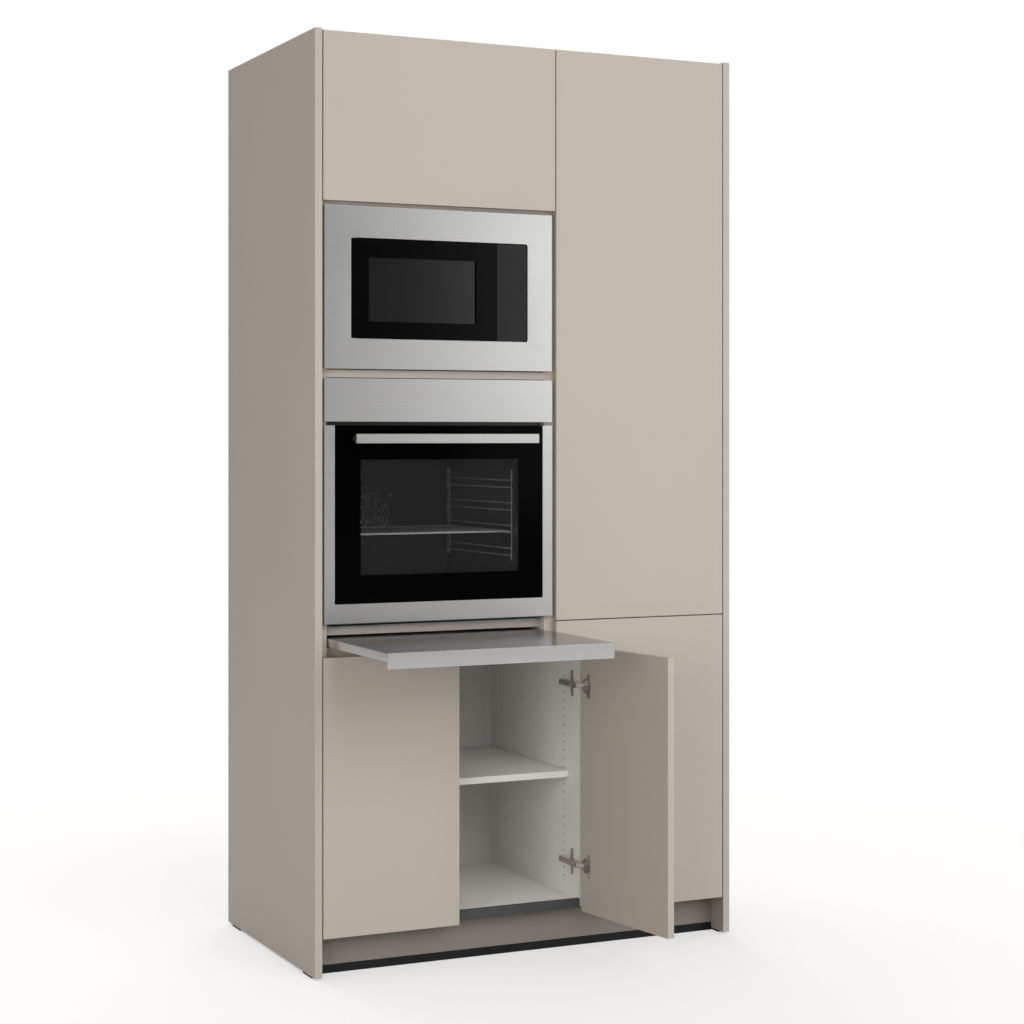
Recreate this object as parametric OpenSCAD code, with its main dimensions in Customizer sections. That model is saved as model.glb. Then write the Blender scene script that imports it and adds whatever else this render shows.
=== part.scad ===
// Tall oven housing unit: an oven column, a tall cupboard and a base cupboard between two end panels.
// Drawn in millimetres, standing on the floor, with the fronts facing -Y.

/* [Overall] */
// Width over both end panels
unit_w = 1122; // [1100:1:1180]
// Height over everything
unit_h = 2224; // [2150:1:2400]
// Depth of the end panels, door faces included
unit_d = 656; // [620:1:720]
// Thickness of the end panels
panel_t = 18; // [16:1:25]
// Thickness of the carcass boards
board_t = 18; // [16:1:19]
// Thickness of the doors
door_t = 18; // [18:0.5:19]
// Gap between a closed door and the carcass edge
bumper_gap = 2; // [2:0.5:4]
// Gap between two doors
door_gap = 3; // [2:0.5:4]
// Depth of the carcass sides
carcass_d = 560; // [545:1:580]
// Back panels' inner face in from the carcass's rear edge
back_in = 33; // [26:1:45]
// Thickness of the back panels
back_t = 8; // [3:1:10]
// Height of the wall fixing rail
rail_h = 100; // [60:1:140]

/* [Levels] */
// Top of the cupboard floors above the room's floor
floor_top = 124.5; // [115:0.5:150]
// Bottom edge of the lower doors
doors_bottom = 95.5; // [80:0.5:100]
// Top edge of the base doors
base_doors_top = 752; // [740:1:752]
// Top face of the base cupboard's top board
base_top = 768; // [766:1:770]
// Top face of the oven board
oven_board_top = 819; // [818:1:822]
// Bottom edge of the tall door
tall_door_bottom = 819; // [818:1:830]
// Top face of the microwave board
microwave_board_top = 1427; // [1424:1:1440]
// Top face of the board over the microwave
compartment_top = 1829; // [1828:1:1850]
// Bottom edge of the top door
top_door_bottom = 1823; // [1818:1:1826]
// Gap over the top doors
head_gap = 4; // [2:0.5:8]

/* [Widths] */
// Inner width of the oven column
niche_w = 568; // [560:1:580]
// Middle of the gap between the top door and the tall door, right of the oven column's inner width
door_split_in = 23; // [21:0.5:25]
// Width of the left base door
left_door_w = 347; // [300:1:400]
// How much wider inside the base cupboard is than the oven column
base_extra_w = 99; // [90:1:115]
// Overlap of the base cupboard's right door on its wall
wall_overlay = 19; // [19:0.5:20]

/* [Shelves] */
// Top face of the base shelf
base_shelf_top = 434; // [300:1:600]
// Thickness of the shelves
shelf_t = 16; // [12:1:22]
// Shelf front edge behind the door faces
shelf_setback = 78; // [60:1:120]
// Gap between a shelf and each side wall
shelf_play = 1.5; // [1:0.25:4]
// Number of shelves in the tall cupboard
tall_shelf_count = 3; // [1:1:5]
// Diameter of the shelf pin holes
pin_d = 5; // [4:0.5:6]
// Depth of the shelf pin holes
pin_hole_depth = 10; // [6:0.5:12]
// Distance between two shelf pin holes
pin_pitch = 21; // [16:1:32]
// Number of pin holes in a column
pin_holes = 25; // [5:1:25]
// Height of the lowest pin hole
pin_first = 166; // [150:1:180]
// Front row of pin holes behind the door faces
pin_front = 108; // [95:1:130]
// Rear row of pin holes behind the door faces
pin_rear = 502; // [450:1:515]

/* [Hinges] */
// Pivot line in from the door's hinged edge
pivot_in = 6; // [6:0.25:7]
// Pivot line behind the door's face
pivot_back = 4; // [4:0.25:5]
// Outer diameter of the hinge cup
cup_d = 35; // [34:0.5:36]
// Wall of the hinge cup
cup_wall = 1.5; // [1:0.1:1.5]
// Depth of the hinge cup in the door
cup_depth = 12; // [11.5:0.1:13]
// Centre of the cup from the door's hinged edge
cup_edge = 23; // [22.5:0.1:23.5]
// Upper hinge below the door's top edge
hinge_top_in = 97; // [70:1:140]
// Lower hinge above the door's bottom edge
hinge_bottom_in = 115; // [80:1:160]
// Hinge arm's pin in from the door's hinged edge
arm_pin_in = 32; // [32:0.1:32.5]
// Hinge arm's pin behind the door's face
arm_pin_back = 12; // [12:0.1:12.5]
// Length of the hinge link
link_l = 20; // [18:0.1:20]
// Opening angle of the right base door as shown
base_right_open = 98; // [0:1:98]
// Share of the door's turn that its hinge links make
link_ratio = 0.55; // [0.54:0.01:0.58]

/* [Plinth] */
// Plinth face behind the door faces
plinth_setback = 61; // [45:1:80]
// Thickness of the plinth board
plinth_t = 16; // [12:1:19]
// Height of the black seal under the plinth
seal_h = 20; // [12:1:25]
// Height of the glides under the end panels
glide_h = 5; // [3:0.5:8]
// Diameter of a levelling foot's pad
foot_pad_d = 60; // [45:1:70]
// Diameter of a levelling foot's stem
foot_stem_d = 28; // [20:1:36]

/* [Pull-out shelf] */
// How far the shelf is pulled out as shown
pull_out = 355; // [0:1:390]
// Gap between the shelf and the column's sides
pull_side_gap = 3; // [2:0.25:5]
// Depth of the shelf
pull_d = 520; // [500:1:522]
// Top face of the shelf
pull_top = 795.5; // [794.5:0.5:796.5]
// Height of the shelf's side flanges
pull_flange_h = 20; // [16:0.5:22]
// Height of the shelf's front lip
pull_lip_h = 36; // [28:1:36]
// Thickness of the stainless sheet
sheet_t = 1.5; // [1:0.1:2]
// Thickness of the shelf's core board
core_t = 16; // [12:0.5:17]
// Length of each runner member
runner_l = 480; // [450:1:490]
// Height of the runner's outer member
runner_h = 17; // [15:0.5:17.5]
// Width of the closed runner
runner_w = 12.7; // [12:0.1:14]

/* [Microwave] */
// Overlap of the appliance faces on the oven column's sides
face_lap = 13; // [11:0.5:16]
// Bottom edge of the microwave's trim frame
trim_bottom = 1429; // [1428:1:1435]
// Top edge of the microwave's trim frame
trim_top = 1812; // [1800:1:1816]
// Width of the opening in the trim frame
trim_open_w = 459; // [440:1:470]
// Bottom of the opening above the frame's bottom edge
trim_open_up = 71; // [50:1:90]
// Height of the opening in the trim frame
trim_open_h = 238; // [220:1:250]
// Corner radius of the opening
trim_r = 5; // [1:0.5:10]
// Width of the microwave's control panel
microwave_panel_w = 82; // [70:1:100]
// Gap round the microwave's door
microwave_gap = 1.5; // [1.5:0.25:2.5]
// Thickness of the microwave's door
microwave_door_t = 20; // [16:1:20]
// Width of the microwave's window
mw_window_w = 278; // [240:1:300]
// Height of the microwave's window
mw_window_h = 152; // [120:1:160]
// Depth of the microwave's case
mw_case_d = 370; // [350:1:420]
// Diameter of the turntable
turntable_d = 270; // [240:1:280]

/* [Oven] */
// Bottom edge of the oven door
oven_door_bottom = 830.5; // [830:0.5:834]
// Top edge of the oven door
oven_door_top = 1296; // [1290:1:1300]
// Bottom edge of the oven's fascia
fascia_bottom = 1305; // [1302:1:1310]
// Top edge of the oven's fascia
fascia_top = 1407; // [1400:1:1407]
// Width of the door's steel side strips
strip_w = 26; // [20:1:32]
// Height of the door's steel bottom strip
strip_h = 45.5; // [40:0.5:52]
// Width of the oven's window
oven_window_w = 414; // [380:1:430]
// Bottom edge of the oven's window
oven_window_bottom = 942; // [935:1:960]
// Height of the oven's window
oven_window_h = 275; // [240:1:285]
// Hinge axis above the oven door's bottom edge and behind its face
oven_pivot = 6; // [6:0.25:6.5]
// Width of the oven's cavity
cavity_w = 440; // [430:1:450]
// Height of the oven's cavity
cavity_h = 350; // [330:1:355]
// Bottom of the oven's cavity
cavity_bottom = 905; // [900:1:910]
// Depth of the oven's cavity
cavity_d = 440; // [410:1:445]
// Length of the handle bar
handle_w = 472; // [400:1:520]
// Height of the handle bar
handle_h = 21.7; // [16:0.1:26]
// Thickness of the handle bar
handle_t = 8; // [6:0.5:12]
// Handle bar's face in front of the door
handle_reach = 52; // [42:1:56]
// Middle of the handle bar above the floor
handle_z = 1265; // [1255:1:1275]
// Diameter of the fan's cover
fan_cover_d = 156; // [140:1:170]
// Number of the fan's blades
blades = 9; // [5:1:12]

/* [Hidden] */

// Everything is laid out from the unit's front bottom left corner: x to the right, y to the back.
eps = 1;
wall_gap = 0.3;
carcass_y = door_t + bumper_gap;
carcass_back = carcass_y + carcass_d;
back_face = carcass_back - back_in;
column_x0 = panel_t + board_t;
column_x1 = column_x0 + niche_w;
base_inner_w = niche_w + base_extra_w;
door_split = column_x1 + door_split_in;
face_w = niche_w + 2 * face_lap;
board_seam = 0.2;
partition_x1 = column_x1 + 2 * board_t + board_seam;
tall_x1 = unit_w - panel_t - board_t;
base_x1 = column_x0 + base_inner_w;
wall_x1 = base_x1 + board_t;
rail_setback = 25;
rail_y = door_t + rail_setback;
face_x0 = column_x0 + niche_w / 2 - face_w / 2;
face_x1 = face_x0 + face_w;
top_board_z = unit_h - board_t;
doors_top = unit_h - head_gap;
tall_floor_rise = 7.5;
tall_floor_top = tall_door_bottom + tall_floor_rise;
side_bottom = floor_top - board_t;
niche_x = column_x0 + niche_w / 2;

// Door edges
left_edge = panel_t + door_gap;
right_edge = unit_w - panel_t - door_gap;
split_left = door_split - door_gap / 2;
split_right = door_split + door_gap / 2;
base_door_x0 = left_edge + left_door_w + door_gap;
base_door_x1 = base_x1 + wall_overlay;
lower_x0 = base_door_x1 + door_gap;
lower_top = tall_door_bottom - door_gap;
arm_bottom = base_doors_top + door_gap;

// Doors: [hinged on the right, hinged edge, bottom, top, opening angle shown, number of hinges]
TOP = [false, left_edge, top_door_bottom, doors_top, 0, 2];
TALL = [true, right_edge, tall_door_bottom, doors_top, 0, 4];
LOWER = [true, right_edge, doors_bottom, lower_top, 0, 2];
BASE_LEFT = [false, left_edge, doors_bottom, base_doors_top, 0, 2];
BASE_RIGHT = [true, base_door_x1, doors_bottom, base_doors_top, base_right_open, 2];
DOORS = [TOP, TALL, LOWER, BASE_LEFT, BASE_RIGHT];

// Colours
beige = [0.76, 0.72, 0.68];
white = [0.93, 0.92, 0.9];
black = [0.08, 0.08, 0.08];
dark = [0.3, 0.3, 0.3];
steel = [0.75, 0.75, 0.76];
zinc = [0.6, 0.61, 0.62];
glass = [0.12, 0.12, 0.13];

// Moves the layout's corner so that the floor under the unit's middle is the origin.
module place() {
    translate([-unit_w / 2, -unit_d / 2, 0]) children();
}

// A plain board between two corners.
module board(x, y, z) {
    translate([x[0], y[0], z[0]])
        cube([x[1] - x[0], y[1] - y[0], z[1] - z[0]]);
}

// A flat bar's outline with round ends, w between the ends' centres and d wide.
module stadium(w, d) {
    translate([-w / 2, -d / 2]) square([w, d]);
    for (side = [-1, 1])
        translate([side * w / 2, 0]) circle(d = d, $fn = 32);
}

// A round bar along X, Y or Z that starts at p.
module bar_x(p, d, l, sides = 32) {
    translate(p) rotate([0, 90, 0]) cylinder(d = d, h = l, $fn = sides);
}

module bar_y(p, d, l, sides = 32) {
    translate(p) rotate([-90, 0, 0]) cylinder(d = d, h = l, $fn = sides);
}

module bar_z(p, d, l, sides = 32) {
    translate(p) cylinder(d = d, h = l, $fn = sides);
}

// ---------------------------------------------------------------- carcass

module end_panel(x0) {
    board([x0, x0 + panel_t], [0, unit_d], [glide_h, unit_h]);
}

module left_end_panel() {
    color(beige) place() end_panel(0);
}

module right_end_panel() {
    color(beige) place() end_panel(unit_w - panel_t);
}

glide_side = 2;
glide_w = panel_t - 2 * glide_side;
glide_l = 60;
glide_in = 30;

module end_panel_glides() {
    color(black) place()
        for (x0 = [glide_side, unit_w - panel_t + glide_side], y0 = [glide_in, unit_d - glide_in - glide_l])
            board([x0, x0 + glide_w], [y0, y0 + glide_l], [0, glide_h]);
}

// Blind holes for shelf pins in a wall whose inner face is at x, drilled towards dir.
module pin_bores(x, dir) {
    for (y = [pin_front, pin_rear], i = [0 : pin_holes - 1])
        bar_x([dir > 0 ? x - eps : x - pin_hole_depth, y, pin_first + i * pin_pitch], pin_d,
            pin_hole_depth + eps, 24);
}

module column_left_side() {
    color(white) place() difference() {
        board([panel_t, column_x0], [carcass_y, carcass_back], [side_bottom, unit_h]);
        pin_bores(column_x0, -1);
    }
}

module centre_partition() {
    color(white) place()
        for (x0 = [column_x1, partition_x1 - board_t])
            board([x0, x0 + board_t], [carcass_y, carcass_back], [base_top, top_board_z]);
}

module tall_right_side() {
    color(white) place()
        board([tall_x1, tall_x1 + board_t], [carcass_y, carcass_back], [side_bottom, unit_h]);
}

module base_right_wall() {
    color(white) place() difference() {
        board([base_x1, wall_x1], [carcass_y, carcass_back], [side_bottom, base_top - board_t]);
        pin_bores(base_x1, 1);
    }
}

module cupboard_floors() {
    color(white) place() {
        board([column_x0, base_x1], [carcass_y + trim_wall, back_face], [side_bottom, floor_top - trim_lap]);
        board([wall_x1, tall_x1], [carcass_y, back_face], [side_bottom, floor_top]);
    }
}

trim_wall = 1.5;
trim_lap = 1;
trim_drop = 3.5;
trim_depth = 14;

// Dark edge profile that hooks over the base floor's front edge.
module base_floor_trim() {
    color(dark) place() {
        board([column_x0, base_x1], [carcass_y, carcass_y + trim_wall], [side_bottom - trim_drop, floor_top]);
        board([column_x0, base_x1], [carcass_y + trim_wall, carcass_y + trim_depth],
            [floor_top - trim_lap, floor_top]);
        board([column_x0, base_x1], [carcass_y + trim_wall, carcass_y + trim_depth],
            [side_bottom - trim_drop, side_bottom]);
    }
}

// The base's top board and the oven board, both set back for the recess, the microwave's board and the
// board above it.
module column_boards() {
    color(white) place() {
        board([column_x0, wall_x1], [rail_y, carcass_back], [base_top - board_t, base_top]);
        board([column_x0, column_x1], [rail_y, back_face], [oven_board_top - board_t, oven_board_top]);
        for (z = [microwave_board_top, compartment_top])
            board([column_x0, column_x1], [carcass_y, back_face], [z - board_t, z]);
    }
}

module top_board() {
    color(white) place()
        board([column_x0, tall_x1], [carcass_y, carcass_back], [top_board_z, unit_h]);
}

tall_bay = (top_board_z - tall_floor_top) / (tall_shelf_count + 1);

// The tall cupboard's floor and its shelves.
module tall_boards() {
    color(white) place() {
        board([partition_x1, tall_x1], [carcass_y, back_face], [tall_floor_top - board_t, tall_floor_top]);
        for (i = [1 : tall_shelf_count])
            board([partition_x1 + shelf_play, tall_x1 - shelf_play], [shelf_setback, back_face - shelf_play],
                [tall_floor_top + i * tall_bay - shelf_t, tall_floor_top + i * tall_bay]);
    }
}

// Back panels of the base cupboard, the lower right bay, the tall cupboard and the top compartment.
module back_panels() {
    y = [back_face, back_face + back_t];
    color(white) place() {
        board([column_x0, base_x1], y, [side_bottom, base_top - board_t]);
        board([wall_x1, tall_x1], y, [side_bottom, tall_floor_top - board_t - board_seam]);
        board([partition_x1, tall_x1], y, [tall_floor_top - board_t, top_board_z]);
        board([column_x0, column_x1], y, [compartment_top - board_t, top_board_z]);
    }
}

rail_hole_d = 6;
rail_hole_in = 60;
rail_hole_xs = [partition_x1 + rail_hole_in, tall_x1 - rail_hole_in];

// Board behind the tall cupboard's back, screwed through to the wall.
module fixing_rail() {
    color(white) place() difference() {
        board([partition_x1, tall_x1], [back_face + back_t, carcass_back],
            [top_board_z - rail_h, top_board_z]);
        for (x = rail_hole_xs)
            bar_y([x, back_face, top_board_z - rail_h / 2], rail_hole_d, carcass_back, 32);
    }
}

module base_shelf() {
    color(white) place()
        board([column_x0 + shelf_play, base_x1 - shelf_play], [shelf_setback, back_face - shelf_play],
            [base_shelf_top - shelf_t, base_shelf_top]);
}

pin_reach = 8;

// Shelf pins: a peg in the wall and a flat tongue under the shelf.
module pin(x, y, z, dir) {
    bar_x([dir > 0 ? x : x - pin_reach, y, z - pin_d / 2], pin_d, pin_reach, 24);
}

module shelf_pins() {
    color(zinc) place() {
        for (y = [pin_front, pin_rear]) {
            pin(column_x0, y, base_shelf_top - shelf_t, 1);
            pin(base_x1, y, base_shelf_top - shelf_t, -1);
            for (i = [1 : tall_shelf_count]) {
                pin(partition_x1, y, tall_floor_top + i * tall_bay - shelf_t, 1);
                pin(tall_x1, y, tall_floor_top + i * tall_bay - shelf_t, -1);
            }
        }
    }
}

// ---------------------------------------------------------------- plinth and feet

plinth_y = [plinth_setback, plinth_setback + plinth_t];
plinth_play = 0.5;
seal_lip = 1;
plinth_top = side_bottom - trim_drop - plinth_play;

module plinth() {
    color(beige) place()
        board([panel_t + plinth_play, unit_w - panel_t - plinth_play], plinth_y, [seal_h, plinth_top]);
}

module plinth_seal() {
    color(black) place()
        board([panel_t + plinth_play, unit_w - panel_t - plinth_play],
            [plinth_setback - seal_lip, plinth_setback + plinth_t], [0, seal_h]);
}

foot_front_in = 40;
foot_back_in = 60;
foot_side_in = 60;
foot_front = plinth_setback + plinth_t + foot_front_in;
foot_back = carcass_back - foot_back_in;
foot_pad_h = 8;
foot_nut_d = 44;
foot_nut_h = 10;
foot_nut_z = 16;
foot_collar_d = 36;
foot_collar_h = 25;
foot_plate_w = 72;
foot_plate_t = 5;

// One levelling foot: a pad on the floor, a stem with a hexagon and a socket under the board.
module foot(x, y) {
    plate_z = side_bottom - foot_plate_t;
    bar_z([x, y, 0], foot_pad_d, foot_pad_h, 48);
    bar_z([x, y, foot_nut_z], foot_nut_d, foot_nut_h, 6);
    bar_z([x, y, foot_pad_h], foot_stem_d, plate_z - foot_pad_h, 48);
    bar_z([x, y, plate_z - foot_collar_h], foot_collar_d, foot_collar_h, 48);
    translate([x - foot_plate_w / 2, y - foot_plate_w / 2, plate_z])
        cube([foot_plate_w, foot_plate_w, foot_plate_t]);
}

module levelling_feet() {
    color(black) place() {
        for (x = [column_x0 + foot_side_in, unit_w / 2, tall_x1 - foot_side_in], y = [foot_front, foot_back])
            foot(x, y);
        foot(unit_w / 2, unit_d / 2);
        foot(base_x1 - foot_side_in, unit_d / 2);
    }
}

// ---------------------------------------------------------------- doors

// Mirrors what is drawn for a door hinged on the right of x = 0 onto its edge.
module hinged(door) {
    translate([door[1], 0, 0]) mirror([door[0] ? 0 : 1, 0, 0]) children();
}

// Turns a door about its pivot line to the angle shown.
module opened(angle) {
    translate([-pivot_in, pivot_back, 0]) rotate([0, 0, angle]) translate([pivot_in, -pivot_back, 0])
        children();
}

function hinge_heights(door) =
    let (low = door[2] + hinge_bottom_in, high = door[3] - hinge_top_in)
    [for (i = [0 : door[5] - 1]) low + i * (high - low) / (door[5] - 1)];

cup_play = 0.15;

// A door drawn leftwards from its hinged edge at x = 0, with bores for the hinge cups.
module door_leaf(door, w) {
    place() hinged(door) opened(door[4]) difference() {
        board([-w, 0], [0, door_t], [door[2], door[3]]);
        for (z = hinge_heights(door))
            bar_y([-cup_edge, door_t - cup_depth - cup_play, z], cup_d + 2 * cup_play, cup_depth + eps, 64);
    }
}

module top_door() {
    color(beige) door_leaf(TOP, split_left - left_edge);
}

module tall_door() {
    color(beige) door_leaf(TALL, right_edge - split_right);
}

// The lower right front runs on over the right base door, up to the oven column.
module lower_right_door() {
    color(beige) place() difference() {
        board([split_right, right_edge], [0, door_t], [doors_bottom, lower_top]);
        board([split_right - eps, lower_x0], [-eps, door_t + eps], [doors_bottom - eps, arm_bottom]);
        hinged(LOWER) for (z = hinge_heights(LOWER))
            bar_y([-cup_edge, door_t - cup_depth - cup_play, z], cup_d + 2 * cup_play, cup_depth + eps, 64);
    }
}

module base_left_door() {
    color(beige) door_leaf(BASE_LEFT, left_door_w);
}

module base_right_door() {
    color(beige) door_leaf(BASE_RIGHT, base_door_x1 - base_door_x0);
}

// ---------------------------------------------------------------- concealed hinges

flange_t = 1.2;
flange_ring = 1.5;
cup_screw_bore = 3.5;
cup_screw_d = 7;
cup_screw_h = 0.5;
flange_half = 24;
flange_w = 12;
flange_in = 9.5;
cup_floor = 1;

// Hinge cup: a pressed pot with a screwed flange on the door's back.
module cup(z) {
    translate([-cup_edge, 0, z]) {
        difference() {
            union() {
                bar_y([0, door_t - cup_depth, 0], cup_d, cup_depth, 64);
                bar_y([0, door_t, 0], cup_d + 2 * flange_ring, flange_t, 64);
                translate([-flange_in, door_t, 0]) rotate([-90, 90, 0])
                    linear_extrude(flange_t) stadium(2 * flange_half, flange_w);
            }
            bar_y([0, door_t - cup_depth + cup_floor, 0], cup_d - 2 * cup_wall, cup_depth + eps, 64);
            for (side = [-1, 1])
                bar_y([-flange_in, door_t - eps, side * flange_half], cup_screw_bore, 2 * flange_t + eps, 24);
        }
        for (side = [-1, 1])
            bar_y([-flange_in, door_t + flange_t / 2, side * flange_half], cup_screw_d,
                flange_t / 2 + cup_screw_h, 32);
    }
}

module door_cups(door) {
    color(dark) place() hinged(door) opened(door[4])
        for (z = hinge_heights(door)) cup(z);
}

module top_door_cups() {
    door_cups(TOP);
}

module tall_door_cups() {
    door_cups(TALL);
}

module lower_right_door_cups() {
    door_cups(LOWER);
}

module base_left_door_cups() {
    door_cups(BASE_LEFT);
}

module base_right_door_cups() {
    door_cups(BASE_RIGHT);
}

link_t = 2.4;
link_h = 8;
eye_d = 5.2;
pin_r = 1;
pin_play = 0.15;

// Hinge link: an eye on the arm's pin and a flat bar that reaches the cup.
module link(z) {
    translate([-arm_pin_in, arm_pin_back, z - link_h / 2]) difference() {
        union() {
            cylinder(d = eye_d, h = link_h, $fn = 32);
            translate([0, -link_t / 2, 0]) cube([link_l - link_t / 2, link_t, link_h]);
            translate([link_l - link_t / 2, 0, 0]) cylinder(d = link_t, h = link_h, $fn = 24);
        }
        translate([0, 0, -eps]) cylinder(r = pin_r + pin_play, h = link_h + 2 * eps, $fn = 24);
    }
}

module door_links(door) {
    color(steel) place() hinged(door)
        translate([-arm_pin_in, arm_pin_back, 0]) rotate([0, 0, -link_ratio * door[4]])
            translate([arm_pin_in, -arm_pin_back, 0])
                for (z = hinge_heights(door)) link(z);
}

module top_door_links() {
    door_links(TOP);
}

module tall_door_links() {
    door_links(TALL);
}

module lower_right_door_links() {
    door_links(LOWER);
}

module base_left_door_links() {
    door_links(BASE_LEFT);
}

module base_right_door_links() {
    door_links(BASE_RIGHT);
}

arm_h = 14;
cheek_t = 2.5;
nose_d = 6.4;
nose_back = 6;
arm_side = 3;
arm_front = 4;
arm_w = 8;
arm_l = 88;
block_front = 14;
block_back = 12;
block_in = 1;
plate_t = 3;
plate_back = 37;
plate_half = 26;
plate_w = 14;
plate_bore_d = 4.5;
plate_bore_in = 4;

// Mounting plate on the carcass wall and the arm with its nose and pin.
// x = 0 is the door's hinged edge, and the wall's face is wall_in further in.
module hinge_arm(z, wall_in) {
    arm_x0 = -wall_in - plate_t - arm_w - arm_side;
    arm_z = [z - arm_h / 2, z + arm_h / 2];
    for (z0 = [arm_z[0], arm_z[1] - cheek_t]) {
        bar_z([-arm_pin_in, arm_pin_back, z0], nose_d, cheek_t, 32);
        board([-arm_pin_in - nose_d / 2, -arm_pin_in + nose_d / 2], [arm_pin_back, carcass_y + nose_back],
            [z0, z0 + cheek_t]);
    }
    bar_z([-arm_pin_in, arm_pin_back, arm_z[0]], 2 * pin_r, arm_h, 24);
    board([arm_x0, arm_x0 + arm_w], [carcass_y + arm_front, carcass_y + arm_l], arm_z);
    board([arm_x0 + arm_w - eps, -wall_in], [carcass_y + block_front, carcass_y + arm_l - block_back],
        [arm_z[0] + block_in, arm_z[1] - block_in]);
    translate([-wall_in - plate_t, carcass_y + plate_back, z]) rotate([0, 90, 0]) difference() {
        linear_extrude(plate_t) stadium(2 * plate_half, plate_w);
        for (side = [-1, 1])
            translate([side * (plate_half - plate_bore_in), 0, -eps])
                cylinder(d = plate_bore_d, h = plate_t + 2 * eps, $fn = 24);
    }
}

module hinge_arms() {
    color(zinc) place() for (door = DOORS) {
        side_in = door == BASE_RIGHT ? wall_overlay : board_t - door_gap;
        hinged(door) for (z = hinge_heights(door)) hinge_arm(z, side_in);
    }
}

// ---------------------------------------------------------------- pull-out shelf

pull_x0 = column_x0 + pull_side_gap;
pull_x1 = column_x1 - pull_side_gap;
pull_y0 = -pull_out;
skin_play = 0.3;
flange_gap = 3;
bracket_t = 2;
core_in = sheet_t + flange_gap + bracket_t + runner_w + skin_play;

// Stainless skin: top sheet, side flanges and the deeper front lip, open at the back for the runners.
module pullout_skin() {
    color(steel) place() difference() {
        union() {
            board([pull_x0, pull_x1], [pull_y0, pull_y0 + pull_d], [pull_top - pull_flange_h, pull_top]);
            board([pull_x0, pull_x1], [pull_y0, pull_y0 + 2 * sheet_t], [pull_top - pull_lip_h, pull_top]);
        }
        board([pull_x0 + sheet_t, pull_x1 - sheet_t], [pull_y0 + 2 * sheet_t, pull_y0 + pull_d + eps],
            [pull_top - pull_flange_h - eps, pull_top - sheet_t]);
    }
}

core_x0 = pull_x0 + core_in;
core_x1 = pull_x1 - core_in;

module pullout_core() {
    color(white) place()
        board([core_x0, core_x1], [pull_y0 + 2 * sheet_t, pull_y0 + pull_d],
            [pull_top - sheet_t - core_t, pull_top - sheet_t]);
}

runner_rise = 7;
runner_z = base_top + runner_rise;
runner_in = 5;
runner_y = rail_y + runner_in;
bracket_foot = 20;
outer_short = 3;
middle_short = 4;
member_t = 1.2;
ball_gap = 0.5;

// A runner member: a channel open towards +X, from x = 0, standing runner_h high less inset on each edge.
module channel(w, inset, y0) {
    h = runner_h - 2 * inset;
    translate([0, y0, runner_z + inset]) difference() {
        cube([w, runner_l, h]);
        translate([member_t, -eps, member_t]) cube([w, runner_l + 2 * eps, h - 2 * member_t]);
    }
}

// Both runners, drawn from the outer side of the left one.
module both_sides() {
    translate([pull_x0 + sheet_t + flange_gap, 0, 0]) children();
    translate([pull_x1 - sheet_t - flange_gap, 0, 0]) mirror([1, 0, 0]) children();
}

// Outer member on an angle bracket that stands on the base's top board.
module runner_outer() {
    color(zinc) place() both_sides() {
        board([0, bracket_t], [runner_y, runner_y + runner_l], [base_top, runner_z + runner_h]);
        board([bracket_t, bracket_foot], [runner_y, runner_y + runner_l], [base_top, base_top + bracket_t]);
        translate([bracket_t, 0, 0]) channel(runner_w - outer_short, 0, runner_y);
    }
}

module runner_middle() {
    color(zinc) place() both_sides()
        translate([bracket_t + member_t + ball_gap, 0, 0])
            channel(runner_w - middle_short, member_t + ball_gap, runner_y - pull_out / 2);
}

// Inner member: a flat rail that is screwed to the core's edge.
module runner_inner() {
    inset = 2 * (member_t + ball_gap);
    x0 = bracket_t + inset;
    color(zinc) place() both_sides()
        board([x0, bracket_t + runner_w + skin_play], [runner_y - pull_out, runner_y - pull_out + runner_l],
            [runner_z + inset, runner_z + runner_h - inset]);
}

// ---------------------------------------------------------------- microwave

mw_x0 = niche_x - trim_open_w / 2;
mw_x1 = niche_x + trim_open_w / 2;
mw_z0 = trim_bottom + trim_open_up;
mw_z1 = mw_z0 + trim_open_h;
tray_t = 2;
carrier_in = 40;
carrier_w = 30;
carrier_back = 20;

// A block between x, y and z limits with its four edges along Y rounded.
module rounded_block(x, y, z, r) {
    board([x[0] + r, x[1] - r], y, z);
    board(x, y, [z[0] + r, z[1] - r]);
    for (cx = [x[0] + r, x[1] - r], cz = [z[0] + r, z[1] - r])
        bar_y([cx, y[0], cz], 2 * r, y[1] - y[0], 32);
}

// Steel trim frame: a shallow tray with an opening, and the two rails that carry the microwave.
module microwave_trim() {
    color(steel) place() {
        difference() {
            union() {
                difference() {
                    board([face_x0, face_x1], [0, carcass_y], [trim_bottom, trim_top]);
                    board([face_x0 + tray_t, face_x1 - tray_t], [tray_t, carcass_y + eps],
                        [trim_bottom + tray_t, trim_top - tray_t]);
                }
                board([mw_x0 - tray_t, mw_x1 + tray_t], [0, carcass_y], [mw_z0 - tray_t, mw_z1 + tray_t]);
            }
            rounded_block([mw_x0, mw_x1], [-eps, carcass_y + eps], [mw_z0, mw_z1], trim_r);
        }
        for (x = [mw_x0 + carrier_in, mw_x1 - carrier_in - carrier_w])
            board([x, x + carrier_w], [carcass_y + carrier_back, carcass_y + mw_case_d],
                [microwave_board_top, case_z0]);
    }
}

case_in = 1;
case_t = 2;
case_over = 3;
case_z0 = mw_z0 - case_over;
case_z1 = mw_z1 + case_over;
mw_face = 2;
mw_door_back = 2;
case_y0 = mw_face + microwave_door_t + mw_door_back;
case_y1 = case_y0 + mw_case_d;
vent_w = 5;
vent_pitch = 12;
vent_h = 50;
vent_in = 24;
vents = 12;
gland_d = 18;
gland_bore = 9;
gland_l = 12;
gland_in = 45;

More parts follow.
